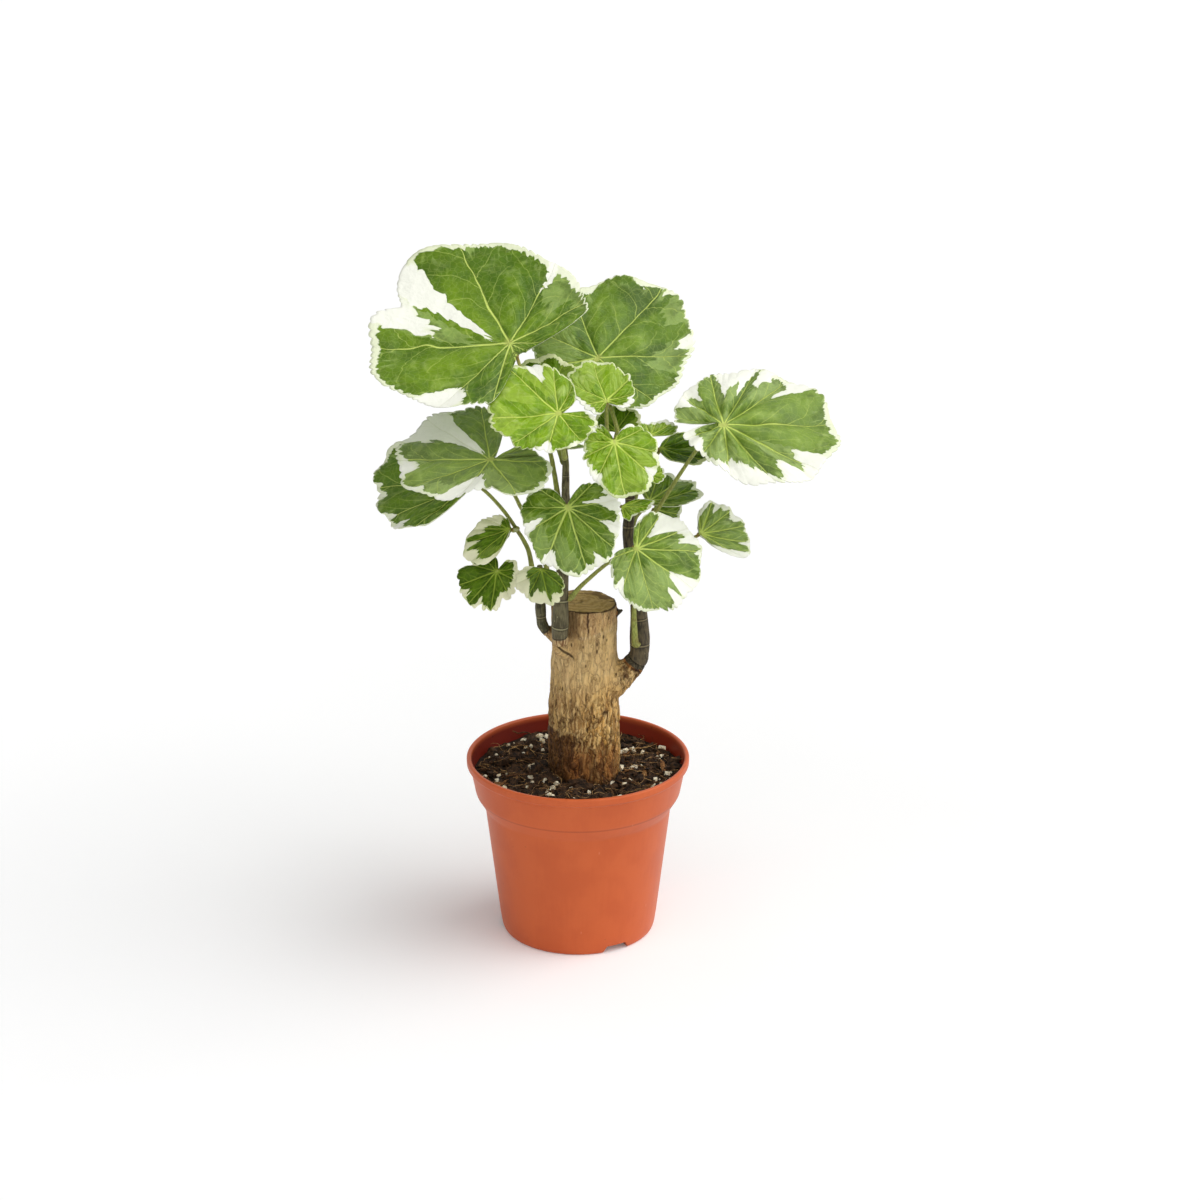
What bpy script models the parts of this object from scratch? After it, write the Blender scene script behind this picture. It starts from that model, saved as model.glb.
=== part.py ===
"""Potted polyscias: a sawn trunk with three shoots of round variegated leaves, in a plastic pot.

Lengths in the tables are millimetres measured from the pot's axis at the floor, with +X to the
right, +Y to the back and +Z up. Angles are degrees.
"""
import math
from collections import namedtuple

import bmesh
import bpy
from mathutils import Vector

MM = 0.001
GAP = 0.3

# ---------------------------------------------------------------- driving dimensions

POT_HEIGHT = 100.0
POT_SIDES = 48
POT_FLOOR = 5.0
POT_WALL = 1.2
LIP_RADIUS = 60.0
FOOT_RADIUS = 40.7
FOOT_INNER_RADIUS = 36.0
NOTCH_COUNT = 3
NOTCH_FIRST = -60.0
NOTCH_WIDTH = 16.0
NOTCH_HEIGHT = 4.2
NOTCH_DEPTH = 16.0
DRAIN_COUNT = 6
DRAIN_RADIUS = 4.0
DRAIN_RING = 26.0

# Outer side of the pot from the foot to the lip: (radius, height).
POT_SIDE = ((41.7, 2.6), (42.7, 9.0), (50.3, 72.0), (55.2, 80.0), (58.1, 95.0), (LIP_RADIUS, 96.0),
            (LIP_RADIUS, 99.4))

SOIL_LEVEL = 91.0
SOIL_BOTTOM = POT_FLOOR + POT_WALL + GAP
SOIL_ANGLES = [360 * k / 40 for k in range(40)]
SOIL_MOUND = 3.0

# Trunk: (height, centre x, centre y, radius), from its buried end to the saw cut.
TRUNK = ((32, 3.2, 3.6, 17.2), (60, 3.2, 1.8, 18.6), (91, 3.2, 0.0, 19.0), (117, 3.2, -1.6, 18.8),
         (140, 3.6, -3.0, 18.4), (157, 3.9, -4.0, 17.7), (175, 3.6, -5.0, 17.5), (191, 3.5, -6.0, 17.3))
TRUNK_SIDES = 24
SAW_SLOPE = 0.06

Run = namedtuple("Run", "points radii")

# Swollen bases that the shoots grow from, as limbs of the trunk.
COLLARS = {
    "left": Run(((0, -5, 167), (-11, -8, 171.5), (-15.5, -9, 175)), (7.0, 4.6, 3.2)),
    "front": Run(((0, -8, 166), (-5.5, -16.5, 168), (-8.3, -21.6, 171), (-8.8, -23.2, 174.6)),
                 (7.0, 6.0, 5.0, 4.6)),
    "right": Run(((6, -4, 136), (19, -6, 146), (27.5, -7.5, 153), (31.4, -8, 158.6)),
                 (10.0, 9.2, 6.8, 5.7)),
}

# Each shoot starts on its collar's end face; these are the points and radii that follow.
STEM_KNEE = 1.5
STEMS = {
    "left": Run(((-18.6, -9.3, 179.5), (-19.4, -9, 186), (-19.5, -9, 196), (-19.7, -9, 205),
                 (-19.7, -9, 212)), (2.9, 2.9, 2.8, 2.8, 2.6, 2.2, 1.4)),
    "front": Run(((-9.2, -24.1, 180), (-8.9, -24.7, 186), (-8.6, -24.5, 193.5), (-8.4, -23.5, 203),
                  (-7.4, -21.5, 216), (-6, -20, 232), (-5.6, -19, 244), (-6, -18.4, 256),
                  (-5.8, -18, 270), (-6.6, -19, 283)),
                 (4.2, 4.3, 4.3, 4.3, 4.2, 3.8, 3.0, 2.5, 2.3, 2.2, 1.8, 1.2)),
    "right": Run(((33, -8, 165), (32.9, -8, 174), (32.3, -8, 186), (30.9, -8, 199), (28, -8, 215),
                  (26.6, -8, 231), (27.6, -7.5, 246), (26.4, -6, 259), (22.6, -4, 272)),
                 (5.4, 5.4, 5.3, 5.0, 4.6, 3.8, 3.2, 2.9, 2.7, 2.3, 1.4)),
}

# A leaf. hub: where its petiole meets the blade. face: azimuth (from the front towards +X) and
# elevation of the way the blade looks. The margin starts in the direction `first` and its veins
# follow every `step` degrees, counter-clockwise seen from the face; reach gives their lengths.
# cup: how far the margin rises (or, below zero, droops). grip: the stem or petiole that carries
# it and the height there. route: points that its petiole passes.
Leaf = namedtuple("Leaf", "hub face first step reach cup grip route")

LEAVES = {
    "crown_left": Leaf(
        (-30.7, -8, 326.6), (-8, 58), 37, 32, (44, 61, 77, 90, 83, 74, 51, 30), 4,
        ("stem_front", 251), ((-13.4, -16, 275), (-19, -14, 294), (-26, -11, 312))),
    "crown_right": Leaf(
        (9.3, 26, 313.2), (6, 48), -78, 30, (30, 38, 45, 55, 63, 57, 45, 38, 34, 30, 20), -3,
        ("stem_right", 262), ((20, 8, 285), (14, 18, 300))),
    "young_centre": Leaf(
        (-7.9, -36, 304.4), (-5, 55), 48, 30, (10, 20, 31, 41, 40, 36, 30, 26, 24, 21, 19, 10), 2,
        ("stem_front", 276), ((-8, -29, 292),)),
    "young_top": Leaf(
        (15.5, -22, 305.8), (5, 50), -35, 29, (9, 13, 16, 20, 23, 26, 25, 17, 12, 10, 7), 2,
        ("stem_right", 266), ((16, -20, 288),)),
    "young_front": Leaf(
        (19, -42, 292), (5, 42), 118, 30, (10, 13, 15, 18, 23, 31, 32, 26, 22, 16, 9), -2,
        ("stem_right", 256), ((22, -30, 276),)),
    "side_left": Leaf(
        (-42.4, -30, 277.8), (-12, 60), 85, 30, (24, 41, 50, 53, 48, 34, 20, 25, 33, 31, 21, 14), -3,
        ("stem_front", 204), ((-20, -25, 232), (-29, -25, 250), (-37, -27, 268))),
    "hanging_left": Leaf(
        (-52.9, -14, 259.4), (-30, 38), 118, 17, (24, 31, 46, 60, 62, 58, 50, 30), -3,
        ("stem_left", 205), ((-25.5, -11, 221), (-31.5, -12, 233), (-38, -13, 243.5), (-46, -13, 253))),
    "folded_left": Leaf(
        (-34, -26, 238.3), (-35, 40), 126, 24, (6, 12, 20, 27, 30, 24, 9), -2,
        ("petiole_hanging_left", 234), ()),
    "low_left": Leaf(
        (-41.1, -26, 215.7), (-15, 38), 98, 30, (5, 12, 17, 22, 23, 24, 21, 16, 13, 11, 10, 6), -2,
        ("stem_left", 195), ((-30, -15, 203), (-37, -17, 209))),
    "base_left": Leaf(
        (-18.6, -34, 219.8), (5, 62), 160, 31, (6, 13, 18, 22, 24, 16, 7), -2,
        ("stem_left", 209), ((-19.4, -22, 214),)),
    "front_centre": Leaf(
        (-4.9, -44, 257.8), (0, 45), 125, 30, (12, 20, 24, 26, 33, 39, 37, 30, 27, 22, 11), -3,
        ("stem_front", 238), ((-5.2, -30, 246),)),
    "front_right": Leaf(
        (29.4, -38, 232.8), (12, 40), 178, 30, (6, 15, 24, 34, 38, 38, 36, 30, 22, 8), -3,
        ("stem_front", 200), ((1.5, -25, 206), (11.9, -28, 217), (20, -33, 225))),
    "fan_right": Leaf(
        (63.8, -4, 227.7), (40, 45), -66, 22, (10, 29, 30, 30, 27, 23, 10), 2,
        ("stem_right", 170), ((29.8, -15, 186), (31, -14.5, 198), (38, -12, 211), (50, -9, 222))),
    "far_right": Leaf(
        (73.6, -2, 287), (10, 60), -172, 32, (21, 22, 26, 41, 56, 64, 62, 49, 38, 30, 25, 23), -4,
        ("stem_right", 224), ((41.7, -4, 241), (53.6, -3, 260.6), (64, -2, 276))),
    "shade_right": Leaf(
        (43, 20, 267), (-10, 75), -62, 30, (8, 24, 30, 30, 20, 8), -1,
        ("stem_right", 246), ((34, 2, 258),)),
    "rolled_right": Leaf(
        (38, -1, 281), (20, 70), -20, 30, (12, 16, 15, 10, 10, 9, 5), 2,
        ("stem_right", 268), ((31, -3, 276),)),
    "bud_right": Leaf(
        (38.2, -14, 263.5), (30, 40), -100, 42, (4, 6, 8, 8, 6, 4), 1,
        ("stem_right", 252), ((33, -11, 257),)),
    "back_right": Leaf(
        (37.1, 6, 242), (15, 70), -30, 26, (10, 29, 30, 26, 22, 14), 2,
        ("stem_right", 230), ((31, 0, 236),)),
    "tiny_right": Leaf(
        (22.9, -14, 246.8), (0, 50), -88, 24, (6, 10, 9, 13, 17, 7), 1,
        ("stem_right", 241), ()),
    "pale_right": Leaf(
        (40, 8, 237), (25, 45), -62, 30, (7, 14, 17, 13, 6), -1,
        ("stem_right", 219), ()),
    "shade_centre": Leaf(
        (-16, 2, 300), (-4, 50), -10, 32, (14, 20, 24, 27, 26, 22, 16), 1,
        ("stem_front", 272), ((-13, -8, 289),)),
    "edge_centre": Leaf(
        (-6, -4, 275), (0, 100), -20, 36, (9, 11, 12, 12, 12, 11, 8), 1,
        ("stem_front", 263), ((-6, -9, 269),)),
    "back_centre": Leaf(
        (20.5, 12, 279), (8, 45), 0, 36, (13, 16, 16, 15, 13, 9), 1,
        ("stem_right", 256), ((19, 6, 268),)),
}
BLADE_THICKNESS = 0.5
BLADE_RINGS = (0.38, 0.74, 1.0)
SPOKES_PER_VEIN = 3
LOBE_NOTCH = 0.05
PETIOLE_RADIUS = 1.1
PETIOLE_KNEE = 1.2
YOUNG = ("young_centre", "young_top", "young_front", "bud_right", "tiny_right", "rolled_right")

# Colours as they look in daylight, red, green and blue out of 255.
TERRACOTTA = (192, 92, 60)
PEAT = (44, 32, 24)
BARK = (176, 140, 98)
SHOOT = (86, 84, 72)
LEAF_GREEN = (92, 138, 62)
YOUNG_GREEN = (150, 184, 60)
PETIOLE_GREEN = (112, 112, 66)


# ---------------------------------------------------------------- scene, materials, helpers

def clear_scene():
    for thing in list(bpy.data.objects):
        bpy.data.objects.remove(thing, do_unlink=True)


def linear(channel):
    value = channel / 255.0
    if value <= 0.04045:
        return value / 12.92
    return ((value + 0.055) / 1.055) ** 2.4


def paint(name, colour, roughness):
    material = bpy.data.materials.new(name)
    material.use_nodes = True
    shader = material.node_tree.nodes["Principled BSDF"]
    shader.inputs["Base Color"].default_value = (*[linear(c) for c in colour], 1.0)
    shader.inputs["Roughness"].default_value = roughness
    shader.inputs["Metallic"].default_value = 0.0
    return material


def add_object(name, data, parent, material=None):
    thing = bpy.data.objects.new(name, data)
    bpy.context.collection.objects.link(thing)
    thing.parent = parent
    if material:
        data.materials.append(material)
    return thing


def mesh_from(bm, name):
    bmesh.ops.recalc_face_normals(bm, faces=bm.faces)
    mesh = bpy.data.meshes.new(name)
    bm.to_mesh(mesh)
    bm.free()
    mesh.shade_smooth()
    mesh.set_sharp_from_angle(angle=math.radians(35))
    return mesh


def boolean(thing, cutter, operation):
    modifier = thing.modifiers.new(cutter.name, "BOOLEAN")
    modifier.operation = operation
    modifier.object = cutter
    modifier.solver = "EXACT"
    cutter.hide_render = True
    cutter.display_type = "WIRE"


def polar(radius, degrees, height=0.0):
    angle = math.radians(degrees)
    return Vector((radius * math.cos(angle), radius * math.sin(angle), height))


def smooth(values, steps):
    """Points of a Catmull-Rom curve through the given vectors, steps to each stretch."""
    values = [Vector(v) for v in values]
    if len(values) < 3:
        return values
    ends = [values[0] * 2 - values[1], *values, values[-1] * 2 - values[-2]]
    path = []
    for a, b, c, d in zip(ends, ends[1:], ends[2:], ends[3:]):
        for k in range(steps):
            t = k / steps
            path.append(0.5 * (2 * b + (c - a) * t + (2 * a - 5 * b + 4 * c - d) * t ** 2
                               + (3 * b - a - 3 * c + d) * t ** 3))
    return path + [values[-1]]


def smooth_run(run, steps):
    path = smooth(run.points, steps)
    radii = [v.x for v in smooth([(r, 0, 0) for r in run.radii], steps)]
    return Run(path, radii)


def tube(name, run, resolution, parent, material=None):
    curve = bpy.data.curves.new(name, "CURVE")
    curve.dimensions = "3D"
    curve.bevel_depth = MM
    curve.bevel_resolution = resolution
    curve.use_fill_caps = True
    spline = curve.splines.new("POLY")
    spline.points.add(len(run.points) - 1)
    for point, place, radius in zip(spline.points, run.points, run.radii):
        point.co = (*(place * MM), 1.0)
        point.radius = radius
    return add_object(name, curve, parent, material)


def limb(name, run, parent):
    """A tube as a welded mesh, which a Boolean can read."""
    curve = tube(name, run, 3, parent)
    bm = bmesh.new()
    bm.from_mesh(bpy.data.meshes.new_from_object(curve))
    bpy.data.objects.remove(curve)
    bmesh.ops.remove_doubles(bm, verts=bm.verts, dist=1e-6)
    return add_object(name, mesh_from(bm, name), parent)


# ---------------------------------------------------------------- pot

def pot_outline():
    """Half section of the pot, from its axis along the underside, up and back inside."""
    inner_side = [(r - POT_WALL, z) for r, z in reversed(POT_SIDE[1:5])]
    return [(0, POT_FLOOR), (FOOT_INNER_RADIUS - 1, POT_FLOOR), (FOOT_INNER_RADIUS, 0), (FOOT_RADIUS, 0),
            *POT_SIDE, (LIP_RADIUS - 0.6, POT_HEIGHT), (LIP_RADIUS - 1.9, POT_HEIGHT),
            (LIP_RADIUS - 2.5, POT_HEIGHT - 0.6), *inner_side,
            (POT_SIDE[0][0] - POT_WALL - 0.6, POT_FLOOR + POT_WALL + 1.2),
            (FOOT_RADIUS - 2.8, POT_FLOOR + POT_WALL), (0, POT_FLOOR + POT_WALL)]


def turned(outline, sides, name):
    bm = bmesh.new()
    verts = [bm.verts.new((r * MM, 0, z * MM)) for r, z in outline]
    edges = [bm.edges.new(pair) for pair in zip(verts, verts[1:])]
    bmesh.ops.spin(bm, geom=verts + edges, axis=(0, 0, 1), cent=(0, 0, 0), angle=math.tau, steps=sides,
                   use_merge=True)
    bmesh.ops.remove_doubles(bm, verts=bm.verts, dist=1e-7)
    return mesh_from(bm, name)


def notch_cutter(index, parent):
    bm = bmesh.new()
    bmesh.ops.create_cube(bm, size=1.0)
    for vert in bm.verts:
        width = NOTCH_WIDTH * (0.72 if vert.co.z > 0 else 1.0)
        vert.co = Vector((vert.co.x * NOTCH_DEPTH, vert.co.y * width, vert.co.z * NOTCH_HEIGHT * 2)) * MM
    cutter = add_object("notch_cutter_%d" % index, mesh_from(bm, "notch_cutter"), parent)
    angle = NOTCH_FIRST + index * 360 / NOTCH_COUNT
    cutter.location = polar(FOOT_RADIUS, angle) * MM
    cutter.rotation_euler = (0, 0, math.radians(angle))
    return cutter


def drain_cutter(index, parent):
    bm = bmesh.new()
    radius = DRAIN_RADIUS * MM
    bmesh.ops.create_cone(bm, cap_ends=True, segments=12, radius1=radius, radius2=radius, depth=12 * MM)
    cutter = add_object("drain_cutter_%d" % index, mesh_from(bm, "drain_cutter"), parent)
    cutter.location = polar(DRAIN_RING, (index + 0.5) * 360 / DRAIN_COUNT, POT_FLOOR) * MM
    return cutter


def make_pot(parent):
    pot = add_object("pot", turned(pot_outline(), POT_SIDES, "pot"), parent, paint("pot", TERRACOTTA, 0.42))
    for index in range(NOTCH_COUNT):
        boolean(pot, notch_cutter(index, parent), "DIFFERENCE")
    for index in range(DRAIN_COUNT):
        boolean(pot, drain_cutter(index, parent), "DIFFERENCE")


# ---------------------------------------------------------------- soil and trunk

def trunk_at(height):
    """Centre and radius of the trunk at a height."""
    for low, high in zip(TRUNK, TRUNK[1:]):
        if height <= high[0]:
            t = max(0.0, (height - low[0]) / (high[0] - low[0]))
            x, y, radius = [a + (b - a) * t for a, b in zip(low[1:], high[1:])]
            return Vector((x, y, height)), radius
    return Vector((*TRUNK[-1][1:3], height)), TRUNK[-1][3]


def pot_inner_radius(height):
    """Clear radius inside the pot at a height, on the flats between its corners."""
    side = POT_SIDE[1:5]
    for (r0, z0), (r1, z1) in zip(side, side[1:]):
        if height <= z1:
            t = max(0.0, (height - z0) / (z1 - z0))
            radius = r0 + (r1 - r0) * t
            return (radius - POT_WALL) * math.cos(math.pi / POT_SIDES) - GAP
    raise ValueError("height above the pot's side")


def soil_height(angle, share):
    """Height of the soil, share 0 at the trunk and 1 at the pot's wall."""
    a = math.radians(angle)
    mound = SOIL_MOUND * (1 - share) * (0.4 + 0.6 * math.cos(a - math.radians(125)))
    ripple = 0.9 * math.sin(3 * a + 0.6) * math.sin(math.pi * share) + 0.5 * math.sin(7 * a) * share
    return SOIL_LEVEL + mound + ripple


def wall_ring(height):
    return [polar(pot_inner_radius(height), angle, height) for angle in SOIL_ANGLES]


def pocket_ring(height):
    """Ring of the soil's pocket, clear of the trunk's corners."""
    centre, radius = trunk_at(height)
    clear = (radius + GAP) / math.cos(math.pi / TRUNK_SIDES)
    return [centre + polar(clear, angle) for angle in SOIL_ANGLES]


def surface_ring(share):
    """Ring of the soil's surface, share 0 at the trunk and 1 at the pot's wall."""
    ring = []
    for inner, outer, angle in zip(pocket_ring(SOIL_LEVEL), wall_ring(SOIL_LEVEL - 6), SOIL_ANGLES):
        place = inner.lerp(outer, share)
        place.z = soil_height(angle, share)
        ring.append(place)
    return ring


def lofted(rings, name):
    """Closed body through rings of equal count, with a flat cap on each end."""
    bm = bmesh.new()
    loops = [[bm.verts.new(p * MM) for p in ring] for ring in rings]
    for lower, upper in zip(loops, loops[1:]):
        for k in range(len(lower)):
            n = (k + 1) % len(lower)
            bm.faces.new((lower[k], lower[n], upper[n], upper[k]))
    bm.faces.new(list(reversed(loops[0])))
    bm.faces.new(loops[-1])
    return mesh_from(bm, name)


def make_soil(parent):
    foot = [polar(FOOT_RADIUS - 4.3, angle, SOIL_BOTTOM) for angle in SOIL_ANGLES]
    walls = [wall_ring(height) for _, height in POT_SIDE[1:4]]
    surface = [surface_ring(share) for share in (1.0, 0.66, 0.33, 0.0)]
    pocket = [pocket_ring(TRUNK[1][0]), pocket_ring(TRUNK[0][0] - GAP)]
    add_object("soil", lofted([foot, *walls, *surface, *pocket], "soil"), parent, paint("soil", PEAT, 0.95))


def make_trunk(parent):
    rings = []
    for height, x, y, radius in TRUNK:
        centre = Vector((x, y, height))
        ring = [centre + polar(radius, 360 * k / TRUNK_SIDES) for k in range(TRUNK_SIDES)]
        rings.append(ring)
    for point in rings[-1]:
        point.z -= SAW_SLOPE * (point.x - TRUNK[-1][1])
    trunk = add_object("trunk", lofted(rings, "trunk"), parent, paint("trunk", BARK, 0.85))
    for side, collar in COLLARS.items():
        boolean(trunk, limb("collar_limb_" + side, smooth_run(collar, 3), parent), "UNION")


# ---------------------------------------------------------------- stems and leaves

def stem_run(side):
    """A shoot's smooth path, whose first face lies against its collar's end face."""
    before, end = smooth_run(COLLARS[side], 3).points[-2:]
    along = (end - before).normalized()
    foot = end + along * GAP
    rest = smooth_run(Run((foot + along * STEM_KNEE, *STEMS[side].points), STEMS[side].radii[1:]), 2)
    return Run([foot, *rest.points], [STEMS[side].radii[0], *rest.radii])


def make_stems(parent):
    material = paint("stem", SHOOT, 0.7)
    paths = {}
    for side in STEMS:
        paths["stem_" + side] = stem_run(side)
        tube("stem_" + side, paths["stem_" + side], 3, parent, material)
    return paths


def blade_axes(leaf):
    """Unit vectors of a blade: to the right, up its slope, and out of its face."""
    azimuth, elevation = [math.radians(a) for a in leaf.face]
    out = Vector((math.sin(azimuth) * math.cos(elevation), -math.cos(azimuth) * math.cos(elevation),
                  math.sin(elevation)))
    right = Vector((math.cos(azimuth), math.sin(azimuth), 0))
    return right, out.cross(right), out


def margin(leaf):
    """The blade's margin as (angle, reach), smooth through its veins and notched between them."""
    reaches = [v.x for v in smooth([(r, 0, 0) for r in leaf.reach], SPOKES_PER_VEIN)]
    points = []
    for k, reach in enumerate(reaches):
        between = math.sin(math.pi * k / SPOKES_PER_VEIN) ** 2
        points.append((leaf.first + leaf.step * k / SPOKES_PER_VEIN, reach * (1 - LOBE_NOTCH * between)))
    return points


def blade_point(leaf, angle, reach, share):
    right, up, out = blade_axes(leaf)
    flat = polar(reach * share, angle)
    lift = leaf.cup * (reach * share / max(leaf.reach)) ** 2
    return Vector(leaf.hub) + right * flat.x + up * flat.y + out * lift


def make_blade(name, leaf, parent, material):
    bm = bmesh.new()
    hub = bm.verts.new(Vector(leaf.hub) * MM)
    spokes = []
    for angle, reach in margin(leaf):
        spokes.append([hub] + [bm.verts.new(blade_point(leaf, angle, reach, s) * MM) for s in BLADE_RINGS])
    for this, following in zip(spokes, spokes[1:]):
        bm.faces.new((hub, this[1], following[1]))
        for k in range(1, len(BLADE_RINGS)):
            bm.faces.new((this[k], this[k + 1], following[k + 1], following[k]))
    mesh = bpy.data.meshes.new(name)
    bm.to_mesh(mesh)
    bm.free()
    mesh.shade_smooth()
    blade = add_object(name, mesh, parent, material)
    solidify = blade.modifiers.new("thickness", "SOLIDIFY")
    solidify.thickness = BLADE_THICKNESS * MM
    solidify.offset = -1.0


def carrier_at(run, height):
    """Point, radius and direction of a stem or petiole at a height."""
    for k, (low, high) in enumerate(zip(run.points, run.points[1:])):
        if low.z <= height <= high.z:
            t = (height - low.z) / (high.z - low.z)
            radius = run.radii[k] + (run.radii[k + 1] - run.radii[k]) * t
            return low.lerp(high, t), radius, (high - low).normalized()
    raise ValueError("no point of the carrier at height %g" % height)


def petiole_run(leaf, paths):
    """A petiole's path: square off its carrier, along its route, and square onto its blade."""
    carrier, height = leaf.grip
    start, radius, along = carrier_at(paths[carrier], height)
    out = blade_axes(leaf)[2]
    tip = Vector(leaf.hub) - out * (BLADE_THICKNESS + GAP)
    approach = tip - out * PETIOLE_KNEE
    route = [Vector(p) for p in leaf.route]
    away = (route + [approach])[0] - start
    away = (away - along * away.dot(along)).normalized()
    foot = start + away * (radius + GAP)
    bends = smooth([foot + away * PETIOLE_KNEE, *route, approach], 2)
    points = [foot, *bends, tip]
    count = len(points) - 1
    radii = [PETIOLE_RADIUS * (1.25 - 0.35 * k / count) for k in range(count + 1)]
    return Run(points, radii)


def make_leaves(parent, paths):
    grown = paint("leaf", LEAF_GREEN, 0.45)
    fresh = paint("young_leaf", YOUNG_GREEN, 0.35)
    stalk = paint("petiole", PETIOLE_GREEN, 0.5)
    for name, leaf in LEAVES.items():
        make_blade("leaf_" + name, leaf, parent, fresh if name in YOUNG else grown)
        paths["petiole_" + name] = petiole_run(leaf, paths)
        tube("petiole_" + name, paths["petiole_" + name], 1, parent, stalk)


def stand_on_origin(axis):
    """Move the plant so that the middle of its bounding box's bottom is the origin."""
    bpy.context.view_layer.update()
    solids = [o for o in bpy.context.scene.objects if o.type in {"MESH", "CURVE"} and not o.hide_render]
    corners = [o.matrix_world @ Vector(c) for o in solids for c in o.bound_box]
    for k in (0, 1):
        values = [c[k] for c in corners]
        axis.location[k] = -(min(values) + max(values)) / 2


def main():
    clear_scene()
    axis = add_object("pot_axis", None, None)
    make_pot(axis)
    make_soil(axis)
    make_trunk(axis)
    paths = make_stems(axis)
    make_leaves(axis, paths)
    stand_on_origin(axis)


main()
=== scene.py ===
"""Looks of a potted polyscias: a sawn trunk, three shoots and round variegated leaves in a plastic pot.

Lengths in the tables are millimetres from the pot's axis at the floor, with +X to the right, +Y to
the back and +Z up. Angles are degrees.
"""

import math
from collections import namedtuple

import bmesh
import bpy
import numpy as np
from bpy.props import FloatProperty, FloatVectorProperty, IntProperty, PointerProperty
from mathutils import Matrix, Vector, noise


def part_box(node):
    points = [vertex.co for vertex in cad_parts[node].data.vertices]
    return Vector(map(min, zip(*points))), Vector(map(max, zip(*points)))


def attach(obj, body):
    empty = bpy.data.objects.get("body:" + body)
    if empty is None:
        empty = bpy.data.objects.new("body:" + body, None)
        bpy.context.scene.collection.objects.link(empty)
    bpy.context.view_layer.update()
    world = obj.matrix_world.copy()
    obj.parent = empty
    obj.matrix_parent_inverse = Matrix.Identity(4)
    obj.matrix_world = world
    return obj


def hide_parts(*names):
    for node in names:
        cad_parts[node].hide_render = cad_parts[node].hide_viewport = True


bl_info = {
    "name": "Potted polyscias",
    "version": (1, 0, 0),
    "blender": (4, 5, 0),
    "location": "View3D > Sidebar > Plant",
    "description": "Dresses the packed frame of a variegated polyscias in a plastic pot",
    "category": "Add Mesh",
}

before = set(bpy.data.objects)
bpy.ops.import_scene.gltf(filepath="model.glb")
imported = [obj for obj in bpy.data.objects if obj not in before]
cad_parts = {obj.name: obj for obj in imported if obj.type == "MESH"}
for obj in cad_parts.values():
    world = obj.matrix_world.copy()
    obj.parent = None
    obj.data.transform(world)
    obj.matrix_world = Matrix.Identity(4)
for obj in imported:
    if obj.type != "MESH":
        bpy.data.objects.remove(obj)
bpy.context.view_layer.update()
POT_LOW, POT_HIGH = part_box("pot")
AXIS = Vector(((POT_LOW.x + POT_HIGH.x) / 2, (POT_LOW.y + POT_HIGH.y) / 2, 0))
MM = 0.001
GAP = 0.3

# ---------------------------------------------------------------- sizes of the plant

POT_HEIGHT = 100.0
POT_FLOOR = 5.0
POT_WALL = 1.2
LIP_RADIUS = 60.0
FOOT_RADIUS = 40.7
FOOT_INNER_RADIUS = 36.0
# The pot's outer side from the foot up: radius and height.
POT_SIDE = ((41.7, 2.6), (42.7, 9.0), (50.3, 72.0), (55.2, 80.0), (58.1, 95.0), (60.0, 96.0), (60.0, 99.4))
NOTCH = {"count": 3, "first": -60.0, "width": 16.0, "height": 4.2, "depth": 16.0, "taper": 0.72}
DRAIN = {"count": 6, "radius": 4.0, "ring": 26.0, "sides": 24, "reach": (-2, 12)}
POT_EASE = 1.4
POT_CREASE_ANGLE = 38

SOIL_LEVEL = 91.0
SOIL_MOUND = 3.0
# Cells of the soil's top around the pot and across it, as shown and where grains are scattered.
BED_CELLS = (160, 30)
SCATTER_CELLS = (80, 14)
# Sunken spots of the soil: x, y, size and depth.
HOLLOWS = ((-31, 10, 10, 5.0), (-24, -24, 6, 2.0), (20, -22, 6, 3.0), (34, 14, 8, 2.5))
# The trunk from its buried end up: height, its centre's x and y, and its radius.
TRUNK = ((32, 3.2, 3.6, 17.2), (60, 3.2, 1.8, 18.6), (91, 3.2, 0.0, 19.0), (117, 3.2, -1.6, 18.8),
         (140, 3.6, -3.0, 18.4), (157, 3.9, -4.0, 17.7), (175, 3.6, -5.0, 17.5), (191, 3.5, -6.0, 17.3))
SAW_SLOPE = 0.06
BARK_SEED = 1
CUT_RADIUS = 17.6
TRUNK_SIDES = 64
COLLAR_SIDES = 24

# A path: its points, and its radius at each.
Run = namedtuple("Run", "points radii")
COLLARS = {
    "left": Run(((0, -5, 167), (-11, -8, 171.5), (-15.5, -9, 175)), (7.0, 4.6, 3.2)),
    "front": Run(((0, -8, 166), (-5.5, -16.5, 168), (-8.3, -21.6, 171), (-8.8, -23.2, 174.6)),
                 (7.0, 6.0, 5.0, 4.6)),
    "right": Run(((6, -4, 136), (19, -6, 146), (27.5, -7.5, 153), (31.4, -8, 158.6)),
                 (10.0, 9.2, 6.8, 5.7)),
}
SPUR = Run(((15, -5.5, 183), (20, -6, 184.2), (22.4, -6, 185.2), (24, -6, 186)), (3.0, 2.0, 1.3, 0.7))
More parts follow.
